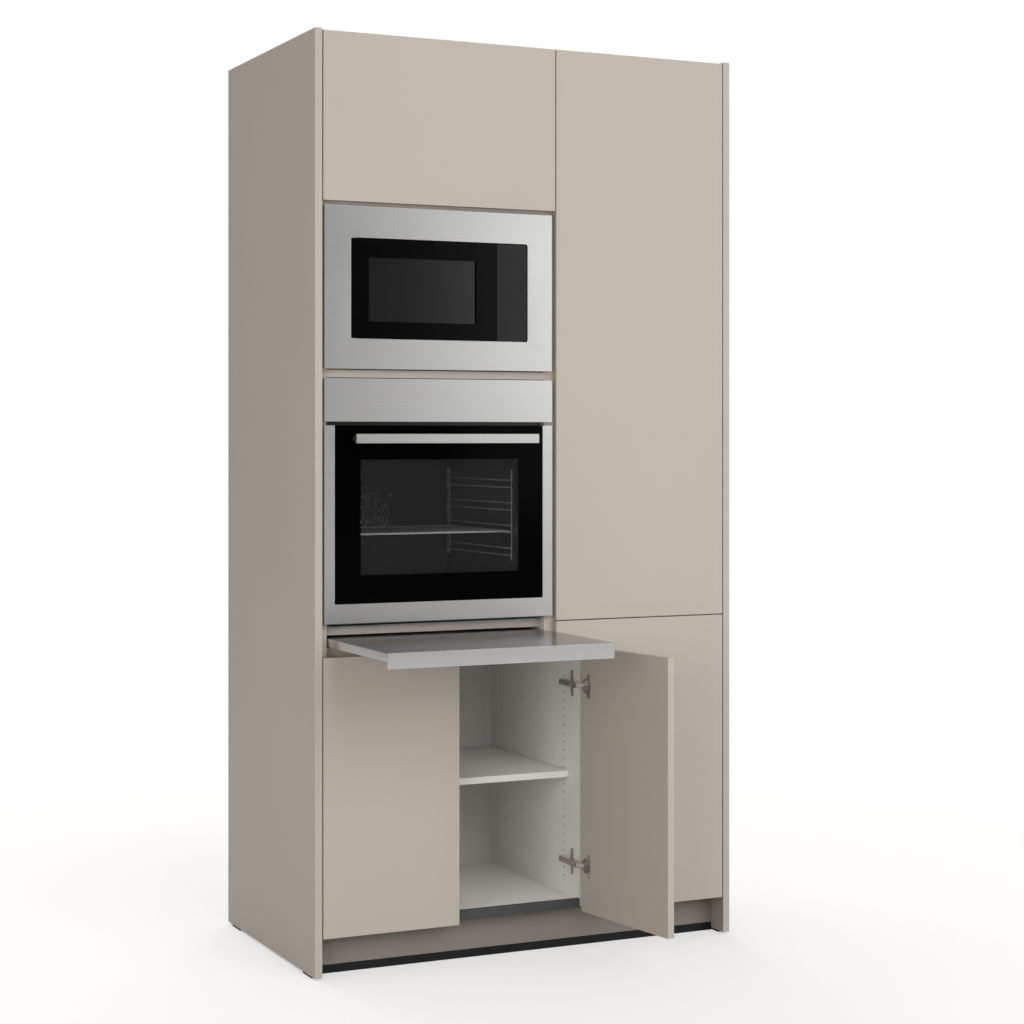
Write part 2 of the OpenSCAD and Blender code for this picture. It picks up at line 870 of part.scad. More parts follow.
// A row of upright vent slots through a plate whose outer face is at y, counted leftwards from x.
module vent_slots(x, y, z, t) {
    for (i = [0 : vents - 1])
        board([x - i * vent_pitch - vent_w, x - i * vent_pitch], [y - t - eps, y + eps], [z, z + vent_h]);
}

// The cable's gland, which sticks out of a plate's outer face at p. The cable itself isn't part of the unit.
module gland(p) {
    difference() {
        bar_y(p, gland_d, gland_l, 32);
        bar_y(p - [0, eps, 0], gland_bore, gland_l + 2 * eps, 32);
    }
}

module microwave_case() {
    color(dark) place() {
        difference() {
            board([mw_x0 - case_in, mw_x1 + case_in], [case_y0 + case_t, case_y1], [case_z0, case_z1]);
            board([mw_x0 - case_in + case_t, mw_x1 + case_in - case_t], [case_y0, case_y1 - case_t],
                [case_z0 + case_t, case_z1 - case_t]);
            vent_slots(mw_x1 - vent_in, case_y1, case_z0 + vent_in, case_t);
            vent_slots(mw_x1 - vent_in, case_y1, case_z1 - vent_in - vent_h, case_t);
        }
        gland([mw_x0 + gland_in, case_y1 - case_t / 2, case_z0 + gland_in]);
    }
}

mw_window_left = 45;
mw_window_up = 41;
mw_window_lap = 6;
mw_cavity_left = 22;
mw_cavity_right = 18;
mw_cavity_up = 26;
mw_cavity_d = 330;
mw_pin_in = 6;
mw_pin_back = 2;
mw_pin_d = 2.4;
mw_pin_l = 10;
mw_pin_play = 0.1;
mw_leaf_play = 0.25;
mw_leaf_w = 8;
mw_split = mw_x1 - microwave_panel_w;
window_x0 = mw_x0 + mw_window_left;
window_z0 = mw_z0 + mw_window_up;
mw_cavity_x = [mw_x0 + mw_cavity_left, mw_split - mw_cavity_right];
mw_cavity_z = [mw_z0 + mw_cavity_up, mw_z1 - mw_cavity_up];
mw_cavity_y1 = case_y0 + mw_cavity_d;
mw_pin_x = mw_x0 + microwave_gap + mw_pin_in;
mw_pin_y = mw_face + mw_pin_back;
mw_leaf_t = microwave_gap - 2 * mw_leaf_play;

// Liner with a front flange, and the two hinge leaves with the door's pins.
module microwave_cavity() {
    color(white) place() {
        difference() {
            union() {
                board([mw_x0 - case_in, mw_x1 + case_in], [case_y0, case_y0 + case_t], [case_z0, case_z1]);
                board(mw_cavity_x, [case_y0, mw_cavity_y1], mw_cavity_z);
            }
            board([mw_cavity_x[0] + case_t, mw_cavity_x[1] - case_t], [case_y0 - eps, mw_cavity_y1 - case_t],
                [mw_cavity_z[0] + case_t, mw_cavity_z[1] - case_t]);
        }
        for (z = [mw_z0 + mw_leaf_play, mw_z1 - mw_leaf_play - mw_leaf_t])
            board([mw_x0 + trim_r, mw_x0 + trim_r + mw_leaf_w],
                [mw_pin_y - mw_pin_d / 2, case_y0 + case_t / 2], [z, z + mw_leaf_t]);
        for (z = [mw_z0 + mw_leaf_play, mw_z1 - mw_leaf_play - mw_pin_l])
            bar_z([mw_pin_x, mw_pin_y, z], mw_pin_d, mw_pin_l, 32);
    }
}

// The part of the microwave's rounded front face that lies between two x values.
module microwave_front(x, depth) {
    intersection() {
        rounded_block([mw_x0 + microwave_gap, mw_x1 - microwave_gap], [mw_face, depth],
            [mw_z0 + microwave_gap, mw_z1 - microwave_gap], trim_r - microwave_gap / 2);
        board(x, [mw_face - eps, depth + eps], [mw_z0, mw_z1]);
    }
}

module microwave_panel() {
    color(black) place() microwave_front([mw_split + microwave_gap / 2, mw_x1], case_y0);
}

// Door frame with a bevelled window opening and a rebate for the glass.
module microwave_door() {
    wx = [window_x0, window_x0 + mw_window_w];
    wz = [window_z0, window_z0 + mw_window_h];
    back = mw_face + microwave_door_t;
    color(black) place() difference() {
        microwave_front([mw_x0, mw_split - microwave_gap / 2], back);
        board(wx, [0, back + eps], wz);
        board([wx[0] - mw_window_lap, wx[1] + mw_window_lap], [mw_glass_y, back + eps],
            [wz[0] - mw_window_lap, wz[1] + mw_window_lap]);
        for (z = [mw_z0, mw_z1 - mw_pin_l - 2 * mw_leaf_play])
            bar_z([mw_pin_x, mw_pin_y, z], mw_pin_d + 2 * mw_pin_play, mw_pin_l + 2 * mw_leaf_play, 32);
    }
}

mw_glass_in = 5;
mw_glass_y = mw_face + mw_glass_in;
mw_glass_t = 4;

module microwave_window() {
    color(glass) place()
        board([window_x0 - mw_window_lap, window_x0 + mw_window_w + mw_window_lap],
            [mw_glass_y, mw_glass_y + mw_glass_t],
            [window_z0 - mw_window_lap, window_z0 + mw_window_h + mw_window_lap]);
}

turntable_x = (mw_cavity_x[0] + mw_cavity_x[1]) / 2;
turntable_y = (case_y0 + mw_cavity_y1) / 2;
turntable_z = mw_cavity_z[0] + case_t + wall_gap;
hub_d = 30;
hub_h = 12;
plate_glass = 4;
plate_rise = 4;
plate_slope = 11;
plate_rim = 3;

// Glass plate with a raised rim on its hub.
module turntable() {
    r = turntable_d / 2;
    rim_z = plate_glass + plate_rise + plate_rim;
    color(glass) place() translate([turntable_x, turntable_y, turntable_z]) {
        cylinder(d = hub_d, h = hub_h, $fn = 32);
        translate([0, 0, hub_h]) rotate_extrude($fn = 64)
            polygon([[0, 0], [r - plate_slope - plate_rim, 0], [r, plate_glass + plate_rise], [r, rim_z],
                [r - plate_rim, rim_z], [r - plate_slope - 2 * plate_rim, plate_glass], [0, plate_glass]]);
    }
}

// ---------------------------------------------------------------- oven

oven_side_gap = 6;
oven_front_in = 16;
oven_d = 511;
oven_top_in = 7;
oven_t = 3;
oven_lift = 6;
motor_d = 70;
motor_gap = 8;
fan_drop = 12;
oven_x0 = column_x0 + oven_side_gap;
oven_x1 = column_x1 - oven_side_gap;
oven_y0 = door_t + oven_front_in;
oven_y1 = oven_y0 + oven_d;
oven_top = fascia_top - oven_top_in;
cavity_x = [niche_x - cavity_w / 2, niche_x + cavity_w / 2];
cavity_z = [cavity_bottom, cavity_bottom + cavity_h];
cavity_y1 = oven_y0 + cavity_d;
fan_z = cavity_bottom + cavity_h / 2 - fan_drop;
box_w = 70;
box_h = 44;
box_d = 20;
box_in = 60;

// Case with vents, the fan's motor and the box where the cable comes in.
module oven_case() {
    box_x = oven_x1 - box_in - box_w;
    box_z = oven_board_top + box_in;
    color(zinc) place() {
        difference() {
            board([oven_x0, oven_x1], [oven_y0 + oven_t, oven_y1], [oven_board_top, oven_top]);
            board([oven_x0 + oven_t, oven_x1 - oven_t], [oven_y0, oven_y1 - oven_t],
                [oven_board_top + oven_t, oven_top - oven_t]);
            vent_slots(niche_x - motor_d, oven_y1, oven_top - vent_in - vent_h, oven_t);
            vent_slots(oven_x1 - vent_in, oven_y1, oven_top - vent_in - vent_h, oven_t);
        }
        bar_y([niche_x, cavity_y1 + oven_t + motor_gap, fan_z], motor_d,
            oven_y1 - cavity_y1 - oven_t - motor_gap - oven_t / 2, 48);
        board([box_x, box_x + box_w], [oven_y1 - oven_t / 2, oven_y1 + box_d], [box_z, box_z + box_h]);
        gland([box_x + box_w / 2, oven_y1 + box_d - oven_t / 2, box_z + box_h / 2]);
    }
}

// Enamelled cavity with a front flange and a bore for the fan's shaft.
module oven_cavity() {
    color(dark) place() difference() {
        union() {
            board([oven_x0, oven_x1], [oven_y0, oven_y0 + oven_t], [oven_board_top + oven_lift, oven_top]);
            board([cavity_x[0] - oven_t, cavity_x[1] + oven_t], [oven_y0, cavity_y1 + oven_t],
                [cavity_z[0] - oven_t, cavity_z[1] + oven_t]);
        }
        board(cavity_x, [oven_y0 - eps, cavity_y1], cavity_z);
        bar_y([niche_x, cavity_y1 - eps, fan_z], shaft_d + 2 * shaft_play, oven_t + 2 * eps, 32);
    }
}

grill_d = 7;
grill_drop = 28;
grill_front_in = 60;
grill_back_in = 40;
grill_side_in = 50;
grill_hanger_d = 4;
grill_runs = 6;
grill_pitch = (cavity_w - 2 * grill_side_in) / (grill_runs - 1);

// Grill element: one tube in six runs under the cavity's roof, with its ends in the back wall.
module oven_grill() {
    y = [oven_y0 + grill_front_in, cavity_y1 - grill_back_in];
    z = cavity_z[1] - grill_drop;
    color(steel) place() translate([cavity_x[0] + grill_side_in, 0, z]) {
        for (i = [0 : grill_runs - 1]) {
            last = i == 0 || i == grill_runs - 1;
            x = i * grill_pitch;
            turn_y = i % 2 == 0 ? y[0] : y[1];
            bar_y([x, y[0], 0], grill_d, (last ? cavity_y1 : y[1]) - y[0], 24);
            translate([x, y[0], 0]) sphere(d = grill_d, $fn = 24);
            if (!last) translate([x, y[1], 0]) sphere(d = grill_d, $fn = 24);
            if (i < grill_runs - 1) bar_x([x, turn_y, 0], grill_d, grill_pitch, 24);
        }
        for (x = [grill_pitch / 2, (grill_runs - 1.5) * grill_pitch])
            bar_z([x, y[0], 0], grill_hanger_d, grill_drop, 16);
    }
}

fascia_side_in = 10;
fascia_bottom_in = 8;
fascia_top_in = 12;

// Blank steel fascia: a shallow tray on the block that holds it to the oven.
module oven_fascia() {
    color(steel) place() {
        difference() {
            board([face_x0, face_x1], [0, carcass_y], [fascia_bottom, fascia_top]);
            board([face_x0 + tray_t, face_x1 - tray_t], [tray_t, carcass_y + eps],
                [fascia_bottom + tray_t, fascia_top - tray_t]);
        }
        board([oven_x0 + fascia_side_in, oven_x1 - fascia_side_in], [tray_t / 2, oven_y0],
            [fascia_bottom + fascia_bottom_in, fascia_top - fascia_top_in]);
    }
}

glass_t = 5;
glass_play = 0.3;
pan_d = 13;
pan_side_in = 8;
pan_bottom_in = 22;
pan_top_in = 6;
window_x = [niche_x - oven_window_w / 2, niche_x + oven_window_w / 2];
window_z = [oven_window_bottom, oven_window_bottom + oven_window_h];
pan_z = [oven_door_bottom + pan_bottom_in, oven_door_top - pan_top_in];
inner_glass_lap = 18;
inner_glass_in = 1;
hinge_in = 70;
hinge_xs = [face_x0 + hinge_in, face_x1 - hinge_in];
hinge_w = 10;
hinge_nose_d = 8;
hinge_play = 1;
hinge_wall = 1.5;
hinge_pin_d = 4;
hinge_pin_l = 23;
hinge_pin_end = 0.5;
hinge_pin_play = 0.1;

// Steel door frame with a recess for the outer glass, and the inner pan behind it.
module oven_door_frame() {
    pan_back = door_t + pan_d;
    color(steel) place() difference() {
        union() {
            board([face_x0, face_x1], [0, door_t], [oven_door_bottom, oven_door_top]);
            board([oven_x0 + pan_side_in, oven_x1 - pan_side_in], [door_t, pan_back], pan_z);
        }
        board([face_x0 + strip_w, face_x1 - strip_w], [-eps, glass_t + glass_play],
            [oven_door_bottom + strip_h, oven_door_top + eps]);
        board(window_x, [-eps, pan_back + eps], window_z);
        board([window_x[0] - inner_glass_lap, window_x[1] + inner_glass_lap],
            [pan_back - glass_t, pan_back + eps],
            [window_z[0] - inner_glass_lap, window_z[1] + inner_glass_lap]);
        for (x = hinge_xs) {
            board([x - hinge_w / 2 - hinge_play, x + hinge_w / 2 + hinge_play], [hinge_wall, door_t + eps],
                [oven_door_bottom - eps, oven_door_bottom + 2 * oven_pivot]);
            bar_x([x - hinge_pin_l / 2 - hinge_pin_end, oven_pivot, oven_door_bottom + oven_pivot],
                hinge_pin_d + 2 * hinge_pin_play, hinge_pin_l + 2 * hinge_pin_end, 32);
        }
    }
}

module oven_door_glass() {
    color(glass) place()
        board([face_x0 + strip_w + glass_play, face_x1 - strip_w - glass_play], [0, glass_t + glass_play],
            [oven_door_bottom + strip_h + glass_play, oven_door_top]);
}

module oven_inner_glass() {
    color(glass) place()
        board([window_x[0] - inner_glass_lap, window_x[1] + inner_glass_lap],
            [door_t + pan_d - glass_t, door_t + pan_d - inner_glass_in],
            [window_z[0] - inner_glass_lap, window_z[1] + inner_glass_lap]);
}

post_d = 14;
post_in = 16;

// Flat handle bar on two round posts.
module oven_handle() {
    x0 = niche_x - handle_w / 2;
    color(steel) place() {
        board([x0, x0 + handle_w], [-handle_reach, handle_t - handle_reach],
            [handle_z - handle_h / 2, handle_z + handle_h / 2]);
        for (x = [x0 + post_in, x0 + handle_w - post_in])
            bar_y([x, handle_t - handle_reach, handle_z], post_d, handle_reach - handle_t, 48);
    }
}

// Hinge brackets on the oven's front flange, each with a round nose and a pin in the door.
module oven_door_hinges() {
    z = oven_door_bottom + oven_pivot;
    color(zinc) place() for (x = hinge_xs) {
        board([x - hinge_w / 2, x + hinge_w / 2], [oven_pivot, oven_y0],
            [z - hinge_nose_d / 2, z + hinge_nose_d / 2]);
        bar_x([x - hinge_w / 2, oven_pivot, z], hinge_nose_d, hinge_w, 48);
        bar_x([x - hinge_pin_l / 2, oven_pivot, z], hinge_pin_d, hinge_pin_l, 32);
    }
}

wire_d = 3;
weld = 0.6;
ladder_levels = 4;
ladder_first = 976;
ladder_pitch = 56;
ladder_gap = 18;
ladder_stand = 4;
ladder_pair = 12;
ladder_front_in = 30;
ladder_back_in = 20;
ladder_foot = 12;
stub_drop = 6;
ladder_y = [oven_y0 + ladder_front_in, oven_y0 + cavity_d - ladder_back_in];

// Chromed side ladders: uprights and pairs of wires that hold a rack or a tray.
module ladder(x, dir) {
    stand = wire_d / 2 + ladder_stand;
    for (y = [ladder_y[0], ladder_y[1] - ladder_pair, ladder_y[1]])
        bar_z([x + dir * (stand - wire_d + weld), y, ladder_first - ladder_foot], wire_d,
            ladder_levels * ladder_pitch, 16);
    for (i = [0 : ladder_levels - 1], k = [0, ladder_gap])
        bar_y([x + dir * stand, ladder_y[0] - wire_d / 2, ladder_first + i * ladder_pitch + k], wire_d,
            ladder_y[1] - ladder_y[0] + wire_d, 16);
    for (y = ladder_y, z = [ladder_first - stub_drop, ladder_first + (ladder_levels - 0.5) * ladder_pitch])
        bar_x([dir > 0 ? x : x - stand, y, z], wire_d, stand, 16);
}

module oven_ladders() {
    color(steel) place() {
        ladder(cavity_x[0], 1);
        ladder(cavity_x[1], -1);
    }
}

rack_z = ladder_first + ladder_pitch + wire_d;
rack_side = wire_d / 2 + ladder_stand;
rack_lift = 1;
rack_rim_d = 5;
rack_front_in = 6;
rack_back_in = 30;
rack_bars = 15;

// Wire rack lying on the second pair of ladder wires.
module oven_rack() {
    x = [cavity_x[0] + rack_side, cavity_x[1] - rack_side];
    y = [ladder_y[0] + rack_front_in, ladder_y[1] - rack_back_in];
    z = rack_z + rack_lift;
    color(steel) place() {
        for (yy = y) bar_x([x[0], yy, z], rack_rim_d, x[1] - x[0], 16);
        for (xx = x) bar_y([xx, y[0], z], rack_rim_d, y[1] - y[0], 16);
        for (i = [1 : rack_bars])
            bar_y([x[0] + i * (x[1] - x[0]) / (rack_bars + 1), y[0], z], wire_d, y[1] - y[0], 16);
    }
}

shaft_d = 8;
shaft_play = 0.5;
cover_depth = 24;
cover_wall = 2;
cover_face = 1.2;
ring_first = 12;
ring_pitch = 10;
ring_w = 5;
rings = 6;
spokes = 8;
spoke_w = 4;
rim_slot_w = 22;
rim_slot_z = 6;
rim_slot_h = 10;

// Round cover over the fan, with rings of slots in its face and outlets in its rim.
module oven_fan_cover() {
    face_z = cover_depth - cover_face;
    color(dark) place() translate([niche_x, cavity_y1, fan_z]) rotate([90, 0, 0]) difference() {
        cylinder(d = fan_cover_d, h = cover_depth, $fn = 96);
        translate([0, 0, -eps]) cylinder(d = fan_cover_d - 2 * cover_wall, h = face_z + eps, $fn = 96);
        difference() {
            for (i = [0 : rings - 1])
                translate([0, 0, face_z - eps]) difference() {
                    cylinder(r = ring_first + i * ring_pitch + ring_w, h = cover_face + 2 * eps, $fn = 64);
                    translate([0, 0, -eps])
                        cylinder(r = ring_first + i * ring_pitch, h = cover_face + 4 * eps, $fn = 64);
                }
            for (i = [0 : spokes - 1]) rotate([0, 0, i * 360 / spokes])
                translate([0, -spoke_w / 2, 0]) cube([fan_cover_d, spoke_w, 2 * cover_depth]);
        }
        for (i = [0 : spokes - 1]) rotate([0, 0, (i + 0.5) * 360 / spokes])
            translate([fan_cover_d / 4, -rim_slot_w / 2, rim_slot_z])
                cube([fan_cover_d, rim_slot_w, rim_slot_h]);
    }
}

shaft_back = 7.7;
shaft_front = 4.3;
fan_d = 110;
fan_disc_z = 3;
fan_sheet = 1.5;
blade_in = 24;
blade_l = 30;
blade_h = 14;

// Fan wheel: the motor's shaft, a disc and blades.
module oven_fan() {
    color(steel) place() translate([niche_x, cavity_y1, fan_z]) rotate([90, 0, 0]) {
        translate([0, 0, -oven_t - shaft_back])
            cylinder(d = shaft_d, h = oven_t + shaft_back + shaft_front, $fn = 32);
        translate([0, 0, fan_disc_z]) cylinder(d = fan_d, h = fan_sheet, $fn = 96);
        for (i = [0 : blades - 1]) rotate([0, 0, i * 360 / blades])
            translate([blade_in, -fan_sheet / 2, fan_disc_z + eps]) cube([blade_l, fan_sheet, blade_h]);
    }
}

left_end_panel();
right_end_panel();
end_panel_glides();
column_left_side();
centre_partition();
tall_right_side();
base_right_wall();
cupboard_floors();
base_floor_trim();
column_boards();
top_board();
tall_boards();
back_panels();
fixing_rail();
base_shelf();
shelf_pins();
plinth();
plinth_seal();
levelling_feet();
top_door();
tall_door();
lower_right_door();
base_left_door();
base_right_door();
hinge_arms();
top_door_cups();
tall_door_cups();
lower_right_door_cups();
base_left_door_cups();
base_right_door_cups();
top_door_links();
tall_door_links();
lower_right_door_links();
base_left_door_links();
base_right_door_links();
pullout_skin();
pullout_core();
runner_outer();
runner_middle();
runner_inner();
microwave_trim();
microwave_case();
microwave_cavity();
microwave_panel();
microwave_door();
microwave_window();
turntable();
oven_case();
oven_cavity();
oven_grill();
oven_fascia();
oven_door_frame();
oven_door_glass();
oven_inner_glass();
oven_handle();
oven_door_hinges();
oven_ladders();
oven_rack();
oven_fan_cover();
oven_fan();
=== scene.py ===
"""Looks of the tall oven housing unit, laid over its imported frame.

Metres, +Z up, fronts towards -Y. Sizes are read from the frame's nodes wherever a piece meets one.
"""

import math

import bpy
from mathutils import Matrix, Vector

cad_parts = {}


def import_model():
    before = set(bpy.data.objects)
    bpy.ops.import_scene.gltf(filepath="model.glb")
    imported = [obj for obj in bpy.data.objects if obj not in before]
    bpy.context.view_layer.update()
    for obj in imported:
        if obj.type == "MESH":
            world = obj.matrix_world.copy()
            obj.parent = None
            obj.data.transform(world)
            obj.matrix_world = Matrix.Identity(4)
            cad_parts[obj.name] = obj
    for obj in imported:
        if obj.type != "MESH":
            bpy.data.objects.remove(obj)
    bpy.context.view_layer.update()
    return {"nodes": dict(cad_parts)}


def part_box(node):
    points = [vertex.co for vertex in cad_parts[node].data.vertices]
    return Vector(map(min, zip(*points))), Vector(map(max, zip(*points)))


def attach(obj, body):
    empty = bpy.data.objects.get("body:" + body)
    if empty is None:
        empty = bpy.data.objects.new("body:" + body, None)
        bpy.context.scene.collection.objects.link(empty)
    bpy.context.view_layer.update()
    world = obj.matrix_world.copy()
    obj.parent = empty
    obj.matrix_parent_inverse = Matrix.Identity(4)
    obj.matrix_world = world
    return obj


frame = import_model()
NODES = frame["nodes"]

MM = 0.001


# ---------------------------------------------------------------- places taken from the frame

def low(node):
    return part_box(node)[0]


def high(node):
    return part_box(node)[1]


def islands(node):
    """The boxes, as low and high corners, of a node's separate solids."""
    mesh = NODES[node].data
    first = {}
    point = [first.setdefault(tuple(round(value, 5) for value in vertex.co), vertex.index)
             for vertex in mesh.vertices]
    group = list(range(len(point)))

    def leader(index):
        while group[index] != index:
            group[index] = group[group[index]]
            index = group[index]
        return index

    for edge in mesh.edges:
        start, end = (point[index] for index in edge.vertices)
        group[leader(start)] = leader(end)
    found = {}
    for vertex in mesh.vertices:
        found.setdefault(leader(point[vertex.index]), []).append(vertex.co)
    return [(Vector(map(min, zip(*corners))), Vector(map(max, zip(*corners)))) for corners in found.values()]


LEFT = low("left_end_panel").x
FRONT = low("left_end_panel").y
CARCASS_FRONT = low("column_left_side").y


def spot(across, deep, up):
    """A place given in millimetres from the unit's left front corner on the floor."""
    return Vector((LEFT + across * MM, FRONT + deep * MM, up * MM))


# ---------------------------------------------------------------- shader building

def srgb(red, green, blue):
    """A colour read as 0-255 values, as linear light."""
    def channel(value):
        value /= 255
        return value / 12.92 if value <= 0.04045 else ((value + 0.055) / 1.055) ** 2.4
    return (channel(red), channel(green), channel(blue), 1.0)


def shade(color, factor):
    return (color[0] * factor, color[1] * factor, color[2] * factor, 1.0)


class Wire:
    """One output of a shader node; arithmetic on it adds Math nodes."""

    def __init__(self, finish, socket):
        self.finish = finish
        self.socket = socket

    def math(self, operation, *values):
        return self.finish.math(operation, self, *values)

    def __add__(self, other):
        return self.math("ADD", other)

    def __sub__(self, other):
        return self.math("SUBTRACT", other)

    def __rsub__(self, other):
        return self.finish.math("SUBTRACT", other, self)

    def __mul__(self, other):
        return self.math("MULTIPLY", other)

    def __truediv__(self, other):
        return self.math("DIVIDE", other)

    def __rtruediv__(self, other):
        return self.finish.math("DIVIDE", other, self)

    __radd__ = __add__
    __rmul__ = __mul__

    def above(self, limit):
        return self.math("GREATER_THAN", limit)

    def below(self, limit):
        return self.math("LESS_THAN", limit)

    def absolute(self):
        return self.math("ABSOLUTE")

    def clamped(self):
        return self.math("MINIMUM", 1.0).math("MAXIMUM", 0.0)


class Finish:
    """A material with one Principled shader."""

    def __init__(self, name, color, roughness, **sockets):
        self.material = bpy.data.materials.new(name)
        self.material.use_nodes = True
        self.tree = self.material.node_tree
        self.principled = self.tree.nodes["Principled BSDF"]
        self.set("Base Color", color)
        self.set("Roughness", roughness)
        for label, value in sockets.items():
            self.set(label.replace("_", " "), value)
        self.coords = self.node("ShaderNodeTexCoord", {}, {})

    def plug(self, value, socket):
        if isinstance(value, Wire):
            self.tree.links.new(value.socket, socket)
        else:
            socket.default_value = value

    def set(self, label, value):
        self.plug(value, self.principled.inputs[label])

    def node(self, kind, settings, sockets):
        """A new node: its settings first, then the value or wire of each socket."""
        made = self.tree.nodes.new(kind)
        for key, value in settings.items():
            setattr(made, key, value)
        for key, value in sockets.items():
            self.plug(value, made.inputs[key])
        return made

    def out(self, made, output=0):
        return Wire(self, made.outputs[output])

    def math(self, operation, *values):
        return self.out(self.node("ShaderNodeMath", {"operation": operation}, dict(enumerate(values))))

    def place(self):
        """The object's own coordinates, in metres."""
        return self.out(self.coords, "Object")

    def axis(self, letter):
        return self.out(self.node("ShaderNodeSeparateXYZ", {}, {0: self.place()}), letter)

    def facing(self, letter):
        """The surface normal's part along one object axis."""
        normal = self.out(self.coords, "Normal")
        return self.out(self.node("ShaderNodeSeparateXYZ", {}, {0: normal}), letter)

    def noise(self, scale, detail=3.0, rough=0.5):
        """Smooth noise round 0.5; scale is one number or one for each axis, in cycles a metre."""
        if isinstance(scale, tuple):
            place = self.out(self.node("ShaderNodeVectorMath", {"operation": "MULTIPLY"}, {0: self.place(), 1: scale}))
            scale = 1.0
        else:
            place = self.place()
        sockets = {"Vector": place, "Scale": scale, "Detail": detail, "Roughness": rough}
        return self.out(self.node("ShaderNodeTexNoise", {}, sockets), "Fac")

    def cells(self, scale, output="Distance"):
        return self.out(self.node("ShaderNodeTexVoronoi", {}, {"Vector": self.place(), "Scale": scale}), output)

    def blend(self, factor, first, second):
        return self.out(self.node("ShaderNodeMix", {"data_type": "RGBA"}, {0: factor, 6: first, 7: second}), 2)

    def spread(self, value, near, far):
        """Stretches the part of a value between near and far to 0 and 1."""
        return self.out(self.node("ShaderNodeMapRange", {}, {"Value": value, "From Min": near, "From Max": far}))

    def bump(self, height, distance):
        self.set("Normal", self.out(self.node("ShaderNodeBump", {}, {"Height": height, "Distance": distance})))


# ---------------------------------------------------------------- materials

BEIGE = srgb(195, 185, 175)
WHITE = srgb(247, 245, 241)
CHIPBOARD = srgb(104, 84, 64)
RAW_HARDBOARD = srgb(168, 141, 112)
STEEL = (0.70, 0.70, 0.69, 1.0)
SHELF_STEEL = (0.78, 0.78, 0.77, 1.0)
CHROME = (0.9, 0.9, 0.89, 1.0)
GALVANISED = (0.45, 0.46, 0.47, 1.0)
ZINC = (0.66, 0.64, 0.57, 1.0)
NICKEL = (0.75, 0.72, 0.67, 1.0)
BLACK = (0.0007, 0.0007, 0.0008, 1.0)
PANEL_BLACK = (0.006, 0.006, 0.0062, 1.0)
BLACK_PLASTIC = (0.012, 0.012, 0.012, 1.0)
DARK_ENAMEL = (0.036, 0.036, 0.037, 1.0)
LIGHT_ENAMEL = (0.55, 0.55, 0.54, 1.0)

EDGED_DEPTH = 40 * MM  # faces that look forward and lie this near the front edge are beige
SKIN = 0.4 * MM  # what lies this far within a board's outer faces is a bore

# Noise scales, in cycles a metre
LAMINATE_GRAIN = 900.0
MELAMINE_PEARL = 1300.0


def laminate_tone(finish, color):
    """The fine even grain of the beige laminate, and its colour with a very slow change of tone."""
    cloud = finish.spread(finish.noise(2.3, detail=4.0), 0.3, 0.7)
    grain = finish.noise(LAMINATE_GRAIN, detail=2.0)
    tone = finish.blend(cloud, shade(color, 0.985), shade(color, 1.015))
    return grain, finish.blend(finish.spread(grain, 0.35, 0.65) * 0.1, tone, shade(color, 0.9))


def beige_laminate(name, color):
    finish = Finish(name, color, 0.45, Specular_IOR_Level=0.35)
    grain, tone = laminate_tone(finish, color)
    finish.set("Base Color", tone)
    finish.set("Roughness", grain * 0.14 + 0.4)
    finish.bump(grain, 0.06 * MM)
    return finish.material


def bores(finish, node):
    """1 inside a board's drilled holes, or in the seam of a pair of boards: all that lies within the outer faces."""
    within = 1.0
    for index, letter in enumerate("XYZ"):
        near, far = low(node)[index] + SKIN, high(node)[index] - SKIN
        within = finish.axis(letter).above(near) * finish.axis(letter).below(far) * within
    return within


def white_board(name, edged=False, bored=None):
    """White melamine with a pearl texture; an edged board has a beige band on its front edge,
    and a bored one shows its chipboard in the holes."""
    finish = Finish(name, WHITE, 0.45, Specular_IOR_Level=0.35)
    pearl = finish.noise(MELAMINE_PEARL, detail=2.0)
    cloud = finish.spread(finish.noise(4.0), 0.35, 0.65)
    tone = finish.blend(cloud, shade(WHITE, 0.98), WHITE)
    front = finish.facing("Y").below(-0.5)
    if edged:
        band = front * finish.axis("Y").below(CARCASS_FRONT + EDGED_DEPTH)
        tone = finish.blend(band, tone, laminate_tone(finish, BEIGE)[1])
    else:
        tone = finish.blend(front, tone, shade(WHITE, 0.965))
    if bored:
        tone = finish.blend(bores(finish, bored), tone, CHIPBOARD)
    finish.set("Base Color", tone)
    finish.set("Roughness", pearl * 0.16 + 0.4 - front * 0.08)
    finish.bump(pearl, 0.05 * MM)
    return finish.material


def back_board():
    """Thin white-lacquered hardboard: its white inside the cupboards is darkened, as painted shade for the cupboards'
    backs, and raw fibre on the back.
    """
    finish = Finish("back_board", WHITE, 0.5, Specular_IOR_Level=0.35)
    fibre = finish.noise((240.0, 240.0, 60.0), detail=5.0, rough=0.6)
    rear = finish.facing("Y").above(0.5)
    tone = finish.blend(finish.spread(fibre, 0.3, 0.7), shade(RAW_HARDBOARD, 1.08), shade(RAW_HARDBOARD, 0.8))
    # painted shade: the inside face is the white at 0.82, darker than the walls, for the shade at the back of the
    # cupboards
    finish.set("Base Color", finish.blend(rear, shade(WHITE, 0.82), tone))
    finish.set("Roughness", rear * 0.3 + fibre * 0.1 + 0.42)
    finish.bump(fibre * rear, 0.1 * MM)
    return finish.material


